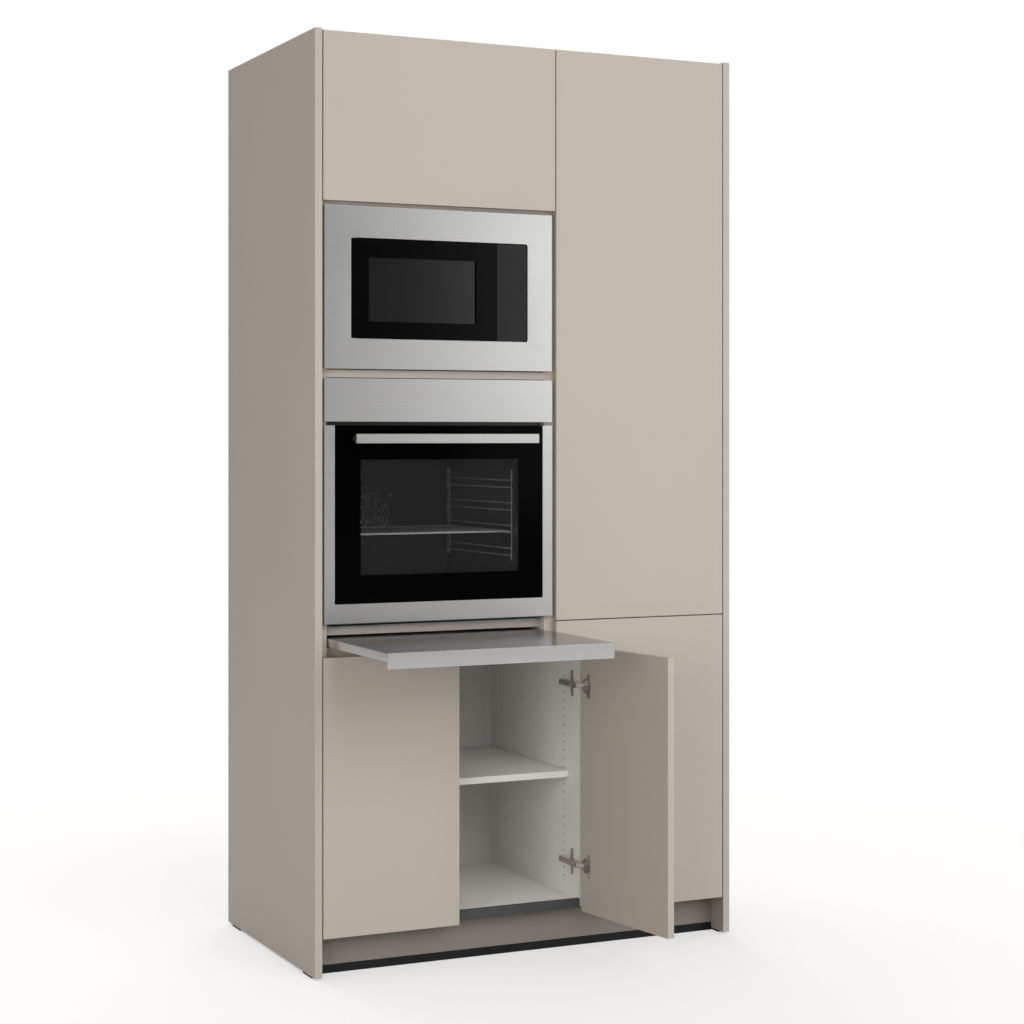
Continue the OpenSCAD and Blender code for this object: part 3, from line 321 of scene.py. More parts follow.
def brushed(name, tone, rough, scale, top_painted_reflection=1.0):
    """Brushed stainless steel: hair lines along the axis whose scale is small.

    A top_painted_reflection below 1 darkens the faces that look up, to match the work shelf's top in the photo: a
    painted reflection of the dark oven glass above it.
    """
    finish = Finish(name, tone, rough, Metallic=1.0)
    hair = finish.noise(scale, detail=4.0, rough=0.7)
    wide = finish.noise(tuple(value * 0.12 for value in scale), detail=2.0)
    line = finish.spread(hair, 0.25, 0.75)
    lines = finish.blend(line, shade(tone, 0.94), shade(tone, 1.04))
    if top_painted_reflection < 1.0:
        # painted reflection: the faces that look up get a darker tone for the dark oven glass that the shelf's top
        # mirrors
        lines = finish.blend(finish.facing("Z").above(0.7), lines, shade(tone, top_painted_reflection))
    finish.set("Base Color", lines)
    finish.set("Roughness", line * 0.05 + wide * 0.06 + (rough - 0.055))
    finish.bump(hair, 0.012 * MM)
    return finish.material


def moulded(name, base, rough, grain=700.0):
    """Injection-moulded plastic with a fine spark texture."""
    finish = Finish(name, base, rough)
    spark = finish.noise(grain, detail=2.0)
    finish.set("Base Color", finish.blend(spark, shade(base, 0.85), shade(base, 1.15)))
    finish.set("Roughness", spark * 0.2 + (rough - 0.1))
    finish.bump(spark, 0.05 * MM)
    return finish.material


def plated(name, tone, rough, metallic=1.0):
    """Zinc, nickel or chrome plate with a slight cloudiness; less metallic shows better behind glass."""
    finish = Finish(name, tone, rough, Metallic=metallic)
    cloud = finish.noise(160.0)
    finish.set("Base Color", finish.blend(cloud, shade(tone, 0.85), shade(tone, 1.1)))
    finish.set("Roughness", cloud * 0.18 + (rough - 0.09))
    return finish.material


def galvanised():
    """Hot-dip galvanised sheet with its spangle."""
    finish = Finish("galvanised_sheet", GALVANISED, 0.42, Metallic=1.0)
    spangle = finish.node("ShaderNodeSeparateXYZ", {}, {0: finish.cells(55.0, "Color")})
    flake = finish.out(spangle, "X")
    finish.set("Base Color", finish.blend(flake, shade(GALVANISED, 0.72), shade(GALVANISED, 1.15)))
    finish.set("Roughness", flake * 0.2 + 0.32)
    return finish.material


def enamel(name, base, rough, speck):
    """Vitreous enamel with tiny specks and a gentle orange peel."""
    finish = Finish(name, base, rough)
    dots = finish.cells(420.0).below(0.16) * finish.noise(140.0, detail=1.0).above(0.62)
    finish.set("Base Color", finish.blend(dots, base, speck))
    finish.set("Roughness", finish.noise(60.0, detail=2.0) * 0.12 + (rough - 0.06))
    finish.bump(finish.noise(90.0, detail=2.0), 0.1 * MM)
    return finish.material


def black_glass(name, base, rough, level):
    """Glass with black print behind it, a little hazy; level sets how much it mirrors."""
    finish = Finish(name, base, rough, Specular_IOR_Level=level)
    haze = finish.noise(30.0)
    finish.set("Base Color", finish.blend(finish.noise(5.0, detail=2.0), shade(base, 0.9), shade(base, 1.1)))
    finish.set("Roughness", haze * 0.05 + (rough - 0.025))
    return finish.material


def window_glass(name, centre, half, soft, clear_alpha, tint, rough, level):
    """Black-printed glass that is see-through inside a rectangle, whose print ends in a dotted rim."""
    finish = Finish(name, BLACK, rough, Specular_IOR_Level=level)
    across = (finish.axis("X") - centre[0]).absolute() - (half[0] - soft)
    up = (finish.axis("Z") - centre[1]).absolute() - (half[1] - soft)
    edge = (across.math("MAXIMUM", up) / soft).clamped()
    dots = finish.cells(900.0).below(edge * 0.75)
    rim = edge.above(0.96).math("MAXIMUM", dots * edge.above(0.02))
    finish.set("Alpha", rim * (1.0 - clear_alpha) + clear_alpha)
    finish.set("Base Color", finish.blend(rim, tint, BLACK))
    finish.set("Roughness", finish.noise(18.0) * 0.05 + (rough - 0.025))
    return finish.material


def clear_plate(name, tint, alpha):
    """Unprinted glass, see-through by its alpha, with a faint unevenness."""
    finish = Finish(name, tint, 0.04, Alpha=alpha, Specular_IOR_Level=0.3)
    finish.set("Base Color", finish.blend(finish.noise(9.0, detail=2.0), shade(tint, 0.92), tint))
    finish.set("Roughness", finish.noise(14.0, detail=4.0) * 0.05 + 0.02)
    return finish.material


FRONT_HAIR = (4.0, 500.0, 500.0)  # hair lines that run across the front

# Middles and half sizes of the see-through parts, across and up
OVEN_WINDOW_UP = 1079.5
OVEN_WINDOW_CENTRE = (
    (low("oven_door_glass").x + high("oven_door_glass").x) / 2,
    spot(0, 0, OVEN_WINDOW_UP).z,
)
OVEN_WINDOW_HALF = (207 * MM, 137.5 * MM)
MW_WINDOW_CENTRE = (
    (low("microwave_window").x + high("microwave_window").x) / 2,
    (low("microwave_window").z + high("microwave_window").z) / 2,
)
MW_WINDOW_HALF = (139 * MM, 76 * MM)

FINISHES = {
    "beige": beige_laminate("beige_laminate", BEIGE),
    # painted shade: the plinth is the beige laminate at half its tone, standing in for the shade under the doors
    "plinth": beige_laminate("plinth_laminate_painted_shade", shade(BEIGE, 0.5)),
    "white": white_board("white_board"),
    "edged": white_board("edged_board", edged=True),
    "base_wall": white_board("base_wall_board", bored="base_right_wall"),
    "left_wall": white_board("left_wall_board", edged=True, bored="column_left_side"),
    "partition": white_board("partition_board", edged=True, bored="centre_partition"),
    "back": back_board(),
    "steel": brushed("brushed_front", STEEL, 0.33, FRONT_HAIR),
    "shelf_steel": brushed("brushed_shelf", SHELF_STEEL, 0.24, FRONT_HAIR, top_painted_reflection=0.52),
    "zinc": plated("zinc_plate", ZINC, 0.36),
    "nickel": plated("nickel_plate", NICKEL, 0.36),
    "chrome_wire": plated("chrome_wire", CHROME, 0.3, metallic=0.3),
    "galvanised": galvanised(),
    "black_plastic": moulded("black_plastic", BLACK_PLASTIC, 0.5),
    "grey_profile": moulded("grey_profile", srgb(76, 76, 77), 0.5, grain=500.0),
    "dark_enamel": enamel("dark_enamel", DARK_ENAMEL, 0.32, speck=(0.2, 0.2, 0.21, 1.0)),
    "white_enamel": enamel("white_enamel", LIGHT_ENAMEL, 0.4, speck=(0.3, 0.3, 0.3, 1.0)),
    "gloss_black": black_glass("gloss_black", BLACK, 0.2, level=0.1),
    "panel_black": black_glass("panel_black", PANEL_BLACK, 0.22, level=0.3),
    "oven_glass": window_glass("oven_glass", OVEN_WINDOW_CENTRE, OVEN_WINDOW_HALF, soft=4 * MM, clear_alpha=0.16,
                               tint=(0.045, 0.045, 0.0455, 1.0), rough=0.12, level=0.03),
    "mw_glass": window_glass("mw_glass", MW_WINDOW_CENTRE, MW_WINDOW_HALF, soft=2 * MM, clear_alpha=0.9,
                             tint=(0.006, 0.006, 0.0064, 1.0), rough=0.18, level=0.5),
    "clear_glass": clear_plate("clear_glass", (0.05, 0.055, 0.055, 1.0), alpha=0.06),
    "plate_glass": clear_plate("plate_glass", (0.75, 0.8, 0.8, 1.0), alpha=0.35),
    "seal": moulded("seal_rubber", (0.01, 0.01, 0.011, 1.0), 0.6, grain=300.0),
    "clear_pad": moulded("clear_pad", (0.62, 0.62, 0.6, 1.0), 0.3, grain=200.0),
    "gasket": moulded("oven_gasket_rubber", (0.035, 0.035, 0.036, 1.0), 0.65, grain=400.0),
    "lamp_glass": clear_plate("lamp_glass", (0.8, 0.82, 0.8, 1.0), alpha=0.6),
    "white_plastic": moulded("white_plastic", (0.7, 0.69, 0.67, 1.0), 0.45),
}

DOORS = ("top_door", "tall_door", "lower_right_door", "base_left_door", "base_right_door")

# The pieces of the frame that have each finish
DRESS = {
    "beige": ("left_end_panel", "right_end_panel") + DOORS,
    "plinth": ("plinth",),
    "white": ("cupboard_floors", "top_board", "tall_boards", "tall_right_side", "base_shelf", "pullout_core"),
    "base_wall": ("base_right_wall",),
    "left_wall": ("column_left_side",),
    "partition": ("centre_partition",),
    "edged": ("column_boards",),
    "back": ("back_panels", "fixing_rail"),
    "steel": ("microwave_trim", "oven_fascia", "oven_door_frame", "oven_handle"),
    "shelf_steel": ("pullout_skin",),
    "zinc": ("shelf_pins", "runner_outer", "runner_middle", "runner_inner", "oven_door_hinges"),
    "nickel": ("hinge_arms",) + tuple(door + part for door in DOORS for part in ("_cups", "_links")),
    "chrome_wire": ("oven_ladders", "oven_rack", "oven_fan", "oven_grill"),
    "galvanised": ("microwave_case", "oven_case"),
    "black_plastic": ("end_panel_glides", "levelling_feet"),
    "seal": ("plinth_seal",),
    "grey_profile": ("base_floor_trim",),
    "dark_enamel": ("oven_cavity", "oven_fan_cover"),
    "white_enamel": ("microwave_cavity",),
    "gloss_black": ("microwave_door",),
    "panel_black": ("microwave_panel",),
    "oven_glass": ("oven_door_glass",),
    "mw_glass": ("microwave_window",),
    "clear_glass": ("oven_inner_glass",),
    "plate_glass": ("turntable",),
}


def dress():
    """Gives every piece of the frame its finish."""
    for key, names in DRESS.items():
        for name in names:
            mesh = NODES[name].data
            mesh.materials.clear()
            mesh.materials.append(FINISHES[key])


# ---------------------------------------------------------------- softened edges

# Radius in millimetres, and the pieces whose edges have it
EDGE_RADIUS = {
    0.7: ("left_end_panel", "right_end_panel") + DOORS,
    0.5: ("oven_fascia", "oven_door_frame", "base_shelf"),
    0.9: ("pullout_skin",),
    1.2: ("oven_handle", "microwave_trim"),
    0.8: ("microwave_door", "microwave_panel", "oven_door_glass"),
    0.4: ("hinge_arms", "plinth", "base_floor_trim") + tuple(door + "_cups" for door in DOORS),
    1.5: ("levelling_feet", "oven_case", "microwave_case"),
}
WELD_REACH = 0.01 * MM
SHARP_EDGE = math.radians(40)


def soften():
    """Rounds the sharp edges of the pieces that show, so that they catch the light."""
    for radius, names in EDGE_RADIUS.items():
        for name in names:
            piece = NODES[name]
            weld = piece.modifiers.new("weld", "WELD")
            weld.merge_threshold = WELD_REACH
            bevel = piece.modifiers.new("edges", "BEVEL")
            bevel.width = radius * MM
            bevel.segments = 2
            bevel.limit_method = "ANGLE"
            bevel.angle_limit = SHARP_EDGE
            piece.modifiers.new("normals", "WEIGHTED_NORMAL").weight = 80


# ---------------------------------------------------------------- shapes

TURN_SIDES = 24
TURN = [step * math.tau / TURN_SIDES for step in range(TURN_SIDES)]
SMOOTHED_UNDER = math.radians(38)


def loft(rings, loop=False):
    """Points and faces between rings of equal count; the ends are capped unless the rings loop."""
    count = len(rings[0])
    points = [Vector(point) for ring in rings for point in ring]
    faces = []
    for row in range(len(rings) if loop else len(rings) - 1):
        near, far = row * count, (row + 1) % len(rings) * count
        for step in range(count):
            after = (step + 1) % count
            faces.append((near + step, near + after, far + after, far + step))
    if not loop:
        faces.append(tuple(reversed(range(count))))
        faces.append(tuple(range(len(points) - count, len(points))))
    return points, faces


def ring(radius, height):
    """A circle, or the outline that a function of the angle gives, at one height."""
    reach = radius if callable(radius) else lambda angle: radius
    return [(reach(angle) * math.cos(angle), reach(angle) * math.sin(angle), height) for angle in TURN]


def turned(profile):
    """A turned form from its seat upwards, given as radius and height pairs in millimetres."""
    points, faces = loft([ring(radius, height) for radius, height in profile])
    return [point * MM for point in points], faces


def screw_head(radius, height):
    """A pan head with a cross recess, sunk a little into its seat."""
    arm, width = radius * 0.55, radius * 0.17

    def cross(scale):
        def reach(angle):
            off = abs((angle + math.pi / 4) % (math.pi / 2) - math.pi / 4)
            if math.tan(off) * arm < width:
                return scale * arm / math.cos(off)
            return scale * width / math.sin(off)
        return reach

    return turned([(radius, -0.2), (radius, height * 0.35), (radius * 0.93, height * 0.7),
                   (radius * 0.72, height), (cross(1.0), height), (cross(0.7), height * 0.2)])


def sweep(path, radius, sides=10):
    """A closed round bead along points that lie in a plane facing -Y."""
    rings = []
    for index, point in enumerate(path):
        ahead = path[(index + 1) % len(path)] - path[index - 1]
        out = Vector((ahead.z, 0.0, -ahead.x)).normalized()
        rings.append([point + (out * math.cos(step * math.tau / sides)
                               + Vector((0.0, 1.0, 0.0)) * math.sin(step * math.tau / sides)) * radius
                      for step in range(sides)])
    return loft(rings, loop=True)


def mesh_of(name, parts, finish):
    """One smooth mesh from several sets of points and faces."""
    points, faces = [], []
    for part_points, part_faces in parts:
        start = len(points)
        points += [tuple(point) for point in part_points]
        faces += [tuple(index + start for index in face) for face in part_faces]
    mesh = bpy.data.meshes.new(name)
    mesh.from_pydata(points, [], faces)
    mesh.materials.append(FINISHES[finish])
    mesh.shade_smooth()
    mesh.set_sharp_from_angle(angle=SMOOTHED_UNDER)
    return mesh


def add_piece(name, mesh, body):
    """Puts a mesh in the scene, where it rides on a body."""
    piece = bpy.data.objects.new(name, mesh)
    bpy.context.scene.collection.objects.link(piece)
    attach(piece, body)


# ---------------------------------------------------------------- repeated pieces

def repeater():
    """Geometry nodes that set one shape on every spot, along its facing and turned about it at random."""
    tree = bpy.data.node_groups.new("repeater", "GeometryNodeTree")
    sockets = (("Spots", "NodeSocketGeometry"), ("Shape", "NodeSocketObject"), ("Most turn", "NodeSocketFloat"),
               ("Seed", "NodeSocketInt"), ("Finish", "NodeSocketMaterial"))
    for label, kind in sockets:
        tree.interface.new_socket(name=label, in_out="INPUT", socket_type=kind)
    tree.interface.new_socket(name="Pieces", in_out="OUTPUT", socket_type="NodeSocketGeometry")

    def node(kind, settings, links):
        made = tree.nodes.new(kind)
        for key, value in settings.items():
            setattr(made, key, value)
        for key, source in links.items():
            tree.links.new(source, made.inputs[key])
        return made.outputs

    given = tree.nodes.new("NodeGroupInput").outputs
    shape = node("GeometryNodeObjectInfo", {}, {"Object": given["Shape"]})
    facing = node("GeometryNodeInputNamedAttribute", {"data_type": "FLOAT_VECTOR"}, {})
    facing[0].node.inputs["Name"].default_value = "facing"
    aimed = node("FunctionNodeAlignRotationToVector", {"axis": "Z"}, {"Vector": facing["Attribute"]})
    chance = node("FunctionNodeRandomValue", {"data_type": "FLOAT"}, {})
    chance_in = {socket.name: socket for socket in chance[0].node.inputs if socket.enabled}
    chance_in["Min"].default_value = 0.0
    tree.links.new(given["Most turn"], chance_in["Max"])
    tree.links.new(given["Seed"], chance_in["Seed"])
    amount = next(socket for socket in chance if socket.enabled)
    spin = node("FunctionNodeAxisAngleToRotation", {}, {"Angle": amount})
    both = node("FunctionNodeRotateRotation", {"rotation_space": "LOCAL"},
                {"Rotation": aimed["Rotation"], "Rotate By": spin["Rotation"]})
    set_down = node("GeometryNodeInstanceOnPoints", {},
                    {"Points": given["Spots"], "Instance": shape["Geometry"], "Rotation": both["Rotation"]})
    real = node("GeometryNodeRealizeInstances", {}, {"Geometry": set_down["Instances"]})
    coated = node("GeometryNodeSetMaterial", {}, {"Geometry": real["Geometry"], "Material": given["Finish"]})
    out = tree.nodes.new("NodeGroupOutput")
    tree.links.new(coated["Geometry"], out.inputs["Pieces"])
    return tree


REPEATER = repeater()


def repeat(name, body, finish, shape, spots, most_turn=math.tau, seed=1):
    """The shape, whose seat is at z = 0, on every spot, given as a place and the way that it faces."""
    master_mesh = mesh_of(name + "_one", [shape], finish)
    master = bpy.data.objects.new(name + "_one", master_mesh)
    base = bpy.data.meshes.new(name + "_spots")
    base.from_pydata([tuple(place) for place, facing in spots], [], [])
    ways = base.attributes.new("facing", "FLOAT_VECTOR", "POINT")
    for index, (place, facing) in enumerate(spots):
        ways.data[index].vector = facing
    carrier = bpy.data.objects.new(name + "_spots", base)
    for item in (master, carrier):
        bpy.context.scene.collection.objects.link(item)
    modifier = carrier.modifiers.new("repeat", "NODES")
    modifier.node_group = REPEATER
    values = {"Shape": master, "Most turn": most_turn, "Seed": seed, "Finish": FINISHES[finish]}
    for item in REPEATER.interface.items_tree:
        if item.name in values and item.in_out == "INPUT":
            modifier[item.identifier] = values[item.name]
    graph = bpy.context.evaluated_depsgraph_get()
    made = bpy.data.meshes.new_from_object(carrier.evaluated_get(graph))
    made.name = name
    for item in (carrier, master):
        bpy.data.objects.remove(item)
    bpy.data.meshes.remove(base)
    add_piece(name, made, body)


# ---------------------------------------------------------------- details

TO_FRONT = (0.0, -1.0, 0.0)
TO_BACK = (0.0, 1.0, 0.0)
TO_LEFT = (-1.0, 0.0, 0.0)
TO_RIGHT = (1.0, 0.0, 0.0)

# Places on and round the doors' hinges, in millimetres: IN from the hinged edge or the wall's face,
# UP and down from the hinge's middle, BACK from the door's face or from the carcass's front edge.
DOOR_T = 18
CUP_FLANGE_T = 1.7
CUP_SCREW_IN, CUP_SCREW_UP = 32.5, 24
PLATE_SCREW_IN, PLATE_SCREW_UP, PLATE_SCREW_BACK = 3, 22, 37
ARM_SCREW_IN, ARM_SCREWS_BACK = 14, (26, 74)
PIVOT_IN, PIVOT_BACK = 6, 4
WALL_IN, BASE_WALL_IN = 15, 19

# The hinged edge, 1 where the door hangs on the right or -1, and how far in the wall's face is
HANGING = {
    "top_door": (low("top_door").x, -1, WALL_IN),
    "tall_door": (high("tall_door").x, 1, WALL_IN),
    "lower_right_door": (high("lower_right_door").x, 1, WALL_IN),
    "base_left_door": (low("base_left_door").x, -1, WALL_IN),
    "base_right_door": (low("base_right_wall").x + BASE_WALL_IN * MM, 1, BASE_WALL_IN),
}
OPENED = {"base_right_door": math.radians(98)}


def hinge_heights(door):
    """The middles of a door's hinges, from its cups."""
    return sorted((box[0].z + box[1].z) / 2 for box in islands(door + "_cups"))


def door_turn(door):
    """The turn that takes a closed door to how it stands at rest."""
    edge, hand = HANGING[door][:2]
    pivot = Vector((edge - hand * PIVOT_IN * MM, FRONT + PIVOT_BACK * MM, 0.0))
    angle = Matrix.Rotation(hand * OPENED.get(door, 0.0), 4, "Z")
    return Matrix.Translation(pivot) @ angle @ Matrix.Translation(-pivot)


def hinge_details():
    """Cross-head screws on the cups, the mounting plates and the arms."""
    on_carcass, on_arms = [], []
    for door, (edge, hand, wall_in) in HANGING.items():
        turn = door_turn(door)
        cup_face = FRONT + (DOOR_T + CUP_FLANGE_T) * MM
        spots = []
        for z in hinge_heights(door):
            for side in (-1, 1):
                place = Vector((edge - hand * CUP_SCREW_IN * MM, cup_face, z + side * CUP_SCREW_UP * MM))
                spots.append((turn @ place, turn.to_3x3() @ Vector(TO_BACK)))
                plate = edge - hand * (wall_in + PLATE_SCREW_IN) * MM
                on_carcass.append(((plate, CARCASS_FRONT + PLATE_SCREW_BACK * MM, z + side * PLATE_SCREW_UP * MM),
                                   (-hand, 0.0, 0.0)))
            face = edge - hand * (wall_in + ARM_SCREW_IN) * MM
            for deep in ARM_SCREWS_BACK:
                on_arms.append(((face, CARCASS_FRONT + deep * MM, z), (-hand, 0.0, 0.0)))
        repeat(door + "_cup_screws", door, "zinc", screw_head(3.0, 0.5), spots, seed=3)
    repeat("hinge_plate_screws", "carcass", "zinc", screw_head(3.9, 1.3), on_carcass, seed=4)
    repeat("hinge_arm_screws", "carcass", "zinc", screw_head(3.4, 1.0), on_arms, seed=5)


# The pads' places across and up, in millimetres
PAD_SPOTS = ((613, 1853), (613, 2190), (634.35, 849), (634.35, 2190), (634.35, 786))


def bumpers():
    """Clear pads on the carcass edges where the doors close."""
    pad = turned([(4.0, -0.2), (4.0, 0.5), (3.6, 1.1), (2.4, 1.5), (0.8, 1.65)])
    places = [(Vector((spot(across, 0, up).x, CARCASS_FRONT, up * MM)), TO_FRONT) for across, up in PAD_SPOTS]
    repeat("door_bumpers", "carcass", "clear_pad", pad, places, most_turn=0.0)


def rounded_loop(centre, half, radius, deep, steps=6):
    """Points of a rounded rectangle in a plane facing -Y, in metres."""
    path = []
    for corner, (right, up) in enumerate(((1, 1), (-1, 1), (-1, -1), (1, -1))):
        for step in range(steps + 1):
            angle = (corner + step / steps) * math.pi / 2
            path.append(Vector((centre[0] + right * (half[0] - radius) + radius * math.cos(angle), deep,
                                centre[1] + up * (half[1] - radius) + radius * math.sin(angle))))
    return path


# The oven's small parts, in millimetres on the unit; BACK is from the cavity's front flange
OVEN_MIDDLE = (320, 1080)
MOUTH_HALF, MOUTH_CORNER, SEAL_RADIUS, SEAL_OUT = (230, 185), 22, 1.6, 1.1
LAMP_ACROSS, LAMP_BACK, LAMP_UP = 100, 330, 1190
COVER_SCREW_OUT, COVER_SCREWS = 72.5, 4
FLANGE_SCREWS_ACROSS, FLANGE_SCREWS_UP = (54, 586), (880, 1275)


def oven_details():
    """Door seal round the oven's mouth, the lamp, and the screws of the cover and the flange."""
    flange = low("oven_cavity").y
    mouth = (spot(OVEN_MIDDLE[0], 0, 0).x, OVEN_MIDDLE[1] * MM)
    half = tuple(size * MM for size in MOUTH_HALF)
    path = rounded_loop(mouth, half, MOUTH_CORNER * MM, flange - SEAL_OUT * MM)
    seal = mesh_of("oven_seal", [sweep(path, SEAL_RADIUS * MM)], "gasket")
    add_piece("oven_seal", seal, "carcass")
    lamp_at = (spot(LAMP_ACROSS, 0, 0).x, flange + LAMP_BACK * MM, LAMP_UP * MM)
    bezel = turned([(25, -0.2), (25, 2.5), (23.5, 3.5), (20.5, 3.5), (20, 1.0)])
    dome = turned([(20, 0.5), (20, 4.0), (18.8, 7.5), (15.5, 10.5), (10.5, 12.4), (5, 13.2), (0.8, 13.4)])
    repeat("oven_lamp_bezel", "carcass", "nickel", bezel, [(lamp_at, TO_RIGHT)], most_turn=0.0)
    repeat("oven_lamp_glass", "carcass", "lamp_glass", dome, [(lamp_at, TO_RIGHT)], most_turn=0.0)
    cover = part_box("oven_fan_cover")
    hub = (cover[0] + cover[1]) / 2
    screws = []
    for step in range(COVER_SCREWS):
        angle = math.pi / 4 + step * math.tau / COVER_SCREWS
        out = Vector((math.cos(angle) * COVER_SCREW_OUT * MM, cover[0].y - hub.y,
                      math.sin(angle) * COVER_SCREW_OUT * MM))
        screws.append((hub + out, TO_FRONT))
    screws += [((spot(across, 0, 0).x, flange, up * MM), TO_FRONT)
               for across in FLANGE_SCREWS_ACROSS for up in FLANGE_SCREWS_UP]
    repeat("oven_screws", "carcass", "zinc", screw_head(3.2, 1.2), screws, seed=7)


# The microwave's small parts, in millimetres
FOAM_SEAT = 1427
FOAM_ENDS = (38, 602)
FOAM_SECTION = ((24, 0), (36, 0), (36, 5), (33, 7), (27, 7), (24, 5))
ROLLER_RING, ROLLER_RING_WIRE, ROLLER_RING_UP, ROLLER_UP = 92, 1.8, 5.5, 5.7
ROLLERS = 3


def microwave_seal():
    """Foam strip on the board under the microwave's trim."""
    rings = [[spot(across, deep, FOAM_SEAT + up) for deep, up in FOAM_SECTION] for across in FOAM_ENDS]
    add_piece("microwave_seal", mesh_of("microwave_seal", [loft(rings)], "gasket"), "carcass")


def turntable_ring():
    """Roller ring that carries the microwave's glass plate."""
    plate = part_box("turntable")
    centre = (plate[0] + plate[1]) / 2
    floor = plate[0].z
    reach = ROLLER_RING * MM
    flat = rounded_loop((0.0, 0.0), (reach, reach), reach - 0.1 * MM, 0.0, steps=12)
    points, faces = sweep(flat, ROLLER_RING_WIRE * MM)
    tilt = Matrix.Rotation(math.pi / 2, 4, "X")
    points = [tilt @ point + Vector((centre.x, centre.y, floor + ROLLER_RING_UP * MM)) for point in points]
    ring_mesh = mesh_of("turntable_ring", [(points, faces)], "white_plastic")
    add_piece("turntable_ring", ring_mesh, "turntable")
    wheel = turned([(5.2, -3.5), (5.6, -3.0), (5.6, 3.0), (5.2, 3.5), (2.0, 3.5), (2.0, 3.0)])
    spots = []
    for step in range(ROLLERS):
        angle = step * math.tau / ROLLERS
        way = Vector((math.cos(angle), math.sin(angle), 0.0))
        spots.append((Vector((centre.x, centre.y, floor + ROLLER_UP * MM)) + way * ROLLER_RING * MM, way))
    repeat("turntable_rollers", "turntable", "white_plastic", wheel, spots, most_turn=0.0)


# Rear screws: in from the edge, from one to the next, and how far back the two cases' rear sheets lie
REAR_MARGIN = 9 * MM
BACK_PITCH = 160 * MM
CASE_PITCH = 130 * MM
CASE_REARS = (("oven_case", 545), ("microwave_case", 394))


def row(start, end, pitch):
    """Even steps from start to end, about a pitch long."""
    count = max(1, round((end - start) / pitch))
    return [start + (end - start) * step / count for step in range(count + 1)]


def rear_screws():
    """Small screws round the back panels and the two appliance cases."""
    spots = []
    for corner, far in islands("back_panels"):
        left, right = corner.x + REAR_MARGIN, far.x - REAR_MARGIN
        bottom, top = corner.z + REAR_MARGIN, far.z - REAR_MARGIN
        for x in row(left, right, BACK_PITCH):
            spots += [((x, far.y, z), TO_BACK) for z in (bottom, top)]
        for z in row(bottom, top, BACK_PITCH)[1:-1]:
            spots += [((x, far.y, z), TO_BACK) for x in (left, right)]
    repeat("back_panel_screws", "carcass", "zinc", screw_head(2.9, 0.9), spots, seed=8)
    spots = []
    for case, deep in CASE_REARS:
        corner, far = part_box(case)
        rear = spot(0, deep, 0).y
        for x in row(corner.x + REAR_MARGIN, far.x - REAR_MARGIN, CASE_PITCH):
            spots += [((x, rear, z), TO_BACK) for z in (corner.z + REAR_MARGIN, far.z - REAR_MARGIN)]
    repeat("case_screws", "carcass", "zinc", screw_head(3.1, 1.1), spots, seed=9)


def pin_collars():
    """Collars that the shelf pins have against the base cupboard's walls.

    Known fault: the tall cupboard's twelve pins get theirs at the base cupboard's right wall too.
    """
    middle = (low("base_shelf").x + high("base_shelf").x) / 2
    spots = []
    for corner, far in islands("shelf_pins"):
        at_left = corner.x < middle
        wall = high("column_left_side").x if at_left else low("base_right_wall").x
        spots.append(((wall, (corner.y + far.y) / 2, (corner.z + far.z) / 2), TO_RIGHT if at_left else TO_LEFT))
    collar = turned([(3.9, -0.3), (3.9, 0.8), (3.5, 1.1), (2.6, 1.1), (2.5, 0.6)])
    repeat("shelf_pin_collars", "carcass", "nickel", collar, spots, most_turn=0.0)


# ---------------------------------------------------------------- studio

# The photo's camera, solved from the unit's straight edges; its place is in millimetres from the left front corner
CAMERA_FROM_CORNER = (-1718.3, -4703.0, 1271.0)
CAMERA_YAW = math.radians(25.33)
CAMERA_LENS, CAMERA_SENSOR = 75.23, 36.0
HORIZON_SHIFT = -0.0742


def camera():
    """The photo's view, level and with its verticals upright."""
    data = bpy.data.cameras.new("camera")
    data.lens = CAMERA_LENS
    data.sensor_width = CAMERA_SENSOR
    data.shift_y = HORIZON_SHIFT
    piece = bpy.data.objects.new("camera", data)
    piece.location = spot(*CAMERA_FROM_CORNER)
    piece.rotation_euler = (math.pi / 2, 0.0, -CAMERA_YAW)
    bpy.context.scene.collection.objects.link(piece)
    bpy.context.scene.camera = piece


PLAIN = (1.0, 1.0, 1.0)
KEY_TINT = (0.985, 1.0, 1.03)
FILL_TINT = (1.0, 0.98, 0.95)

# Name, place, what it points at, width and height in metres, brightness, tint, and what it is for:
# lamps for surfaces are not seen in reflections, and lamps for reflections do not light matt surfaces.
LAMPS = (
    ("key", (1.3, -9.8, 6.6), (0.0, -0.3, 1.1), (6.4, 6.4), 3.35, KEY_TINT, "surfaces"),
    ("back", (0.0, 3.6, 5.0), (0.0, 0.0, 0.0), (5.0, 3.0), 3.2, PLAIN, "surfaces"),
    ("fill", (-4.3, -3.9, 1.4), (0.0, -0.3, 1.0), (3.2, 2.6), 2.6, FILL_TINT, "surfaces"),
    ("left_panel", (-4.3, -3.9, 1.4), (0.0, -0.3, 1.0), (3.2, 2.6), 1.1, PLAIN, "reflections"),
    ("right", (2.6, -3.4, 1.0), (0.4, -0.3, 0.8), (1.6, 1.6), 3.0, KEY_TINT, "surfaces"),
    ("top_shine", (0.4, -0.9, 5.0), (0.2, -0.4, 1.0), (3.0, 2.4), 2.4, PLAIN, "reflections"),
    ("steel_panel", (2.35, -3.4, 2.3), (0.2, -0.3, 1.4), (2.2, 2.8), 1.28, PLAIN, "reflections"),
)

WORLD_LIGHT = 0.53
WORLD_TINT = (1.0, 0.962, 0.925, 1.0)
WORLD_MIRRORED = 0.16  # what reflections see of the world, much darker than the background
PAPER_WHITE = (1.0, 1.0, 1.0, 1.0)
FLOOR_BOUNCE = 0.36
FLOOR_MIRRORED = 0.62
FLOOR_LOOK = 0.5
FLOOR_GLOW = 0.5
FLOOR_FADE = (1.2, 2.6)  # metres from the middle over which the shaded floor turns white
FLOOR_REACH = 30.0


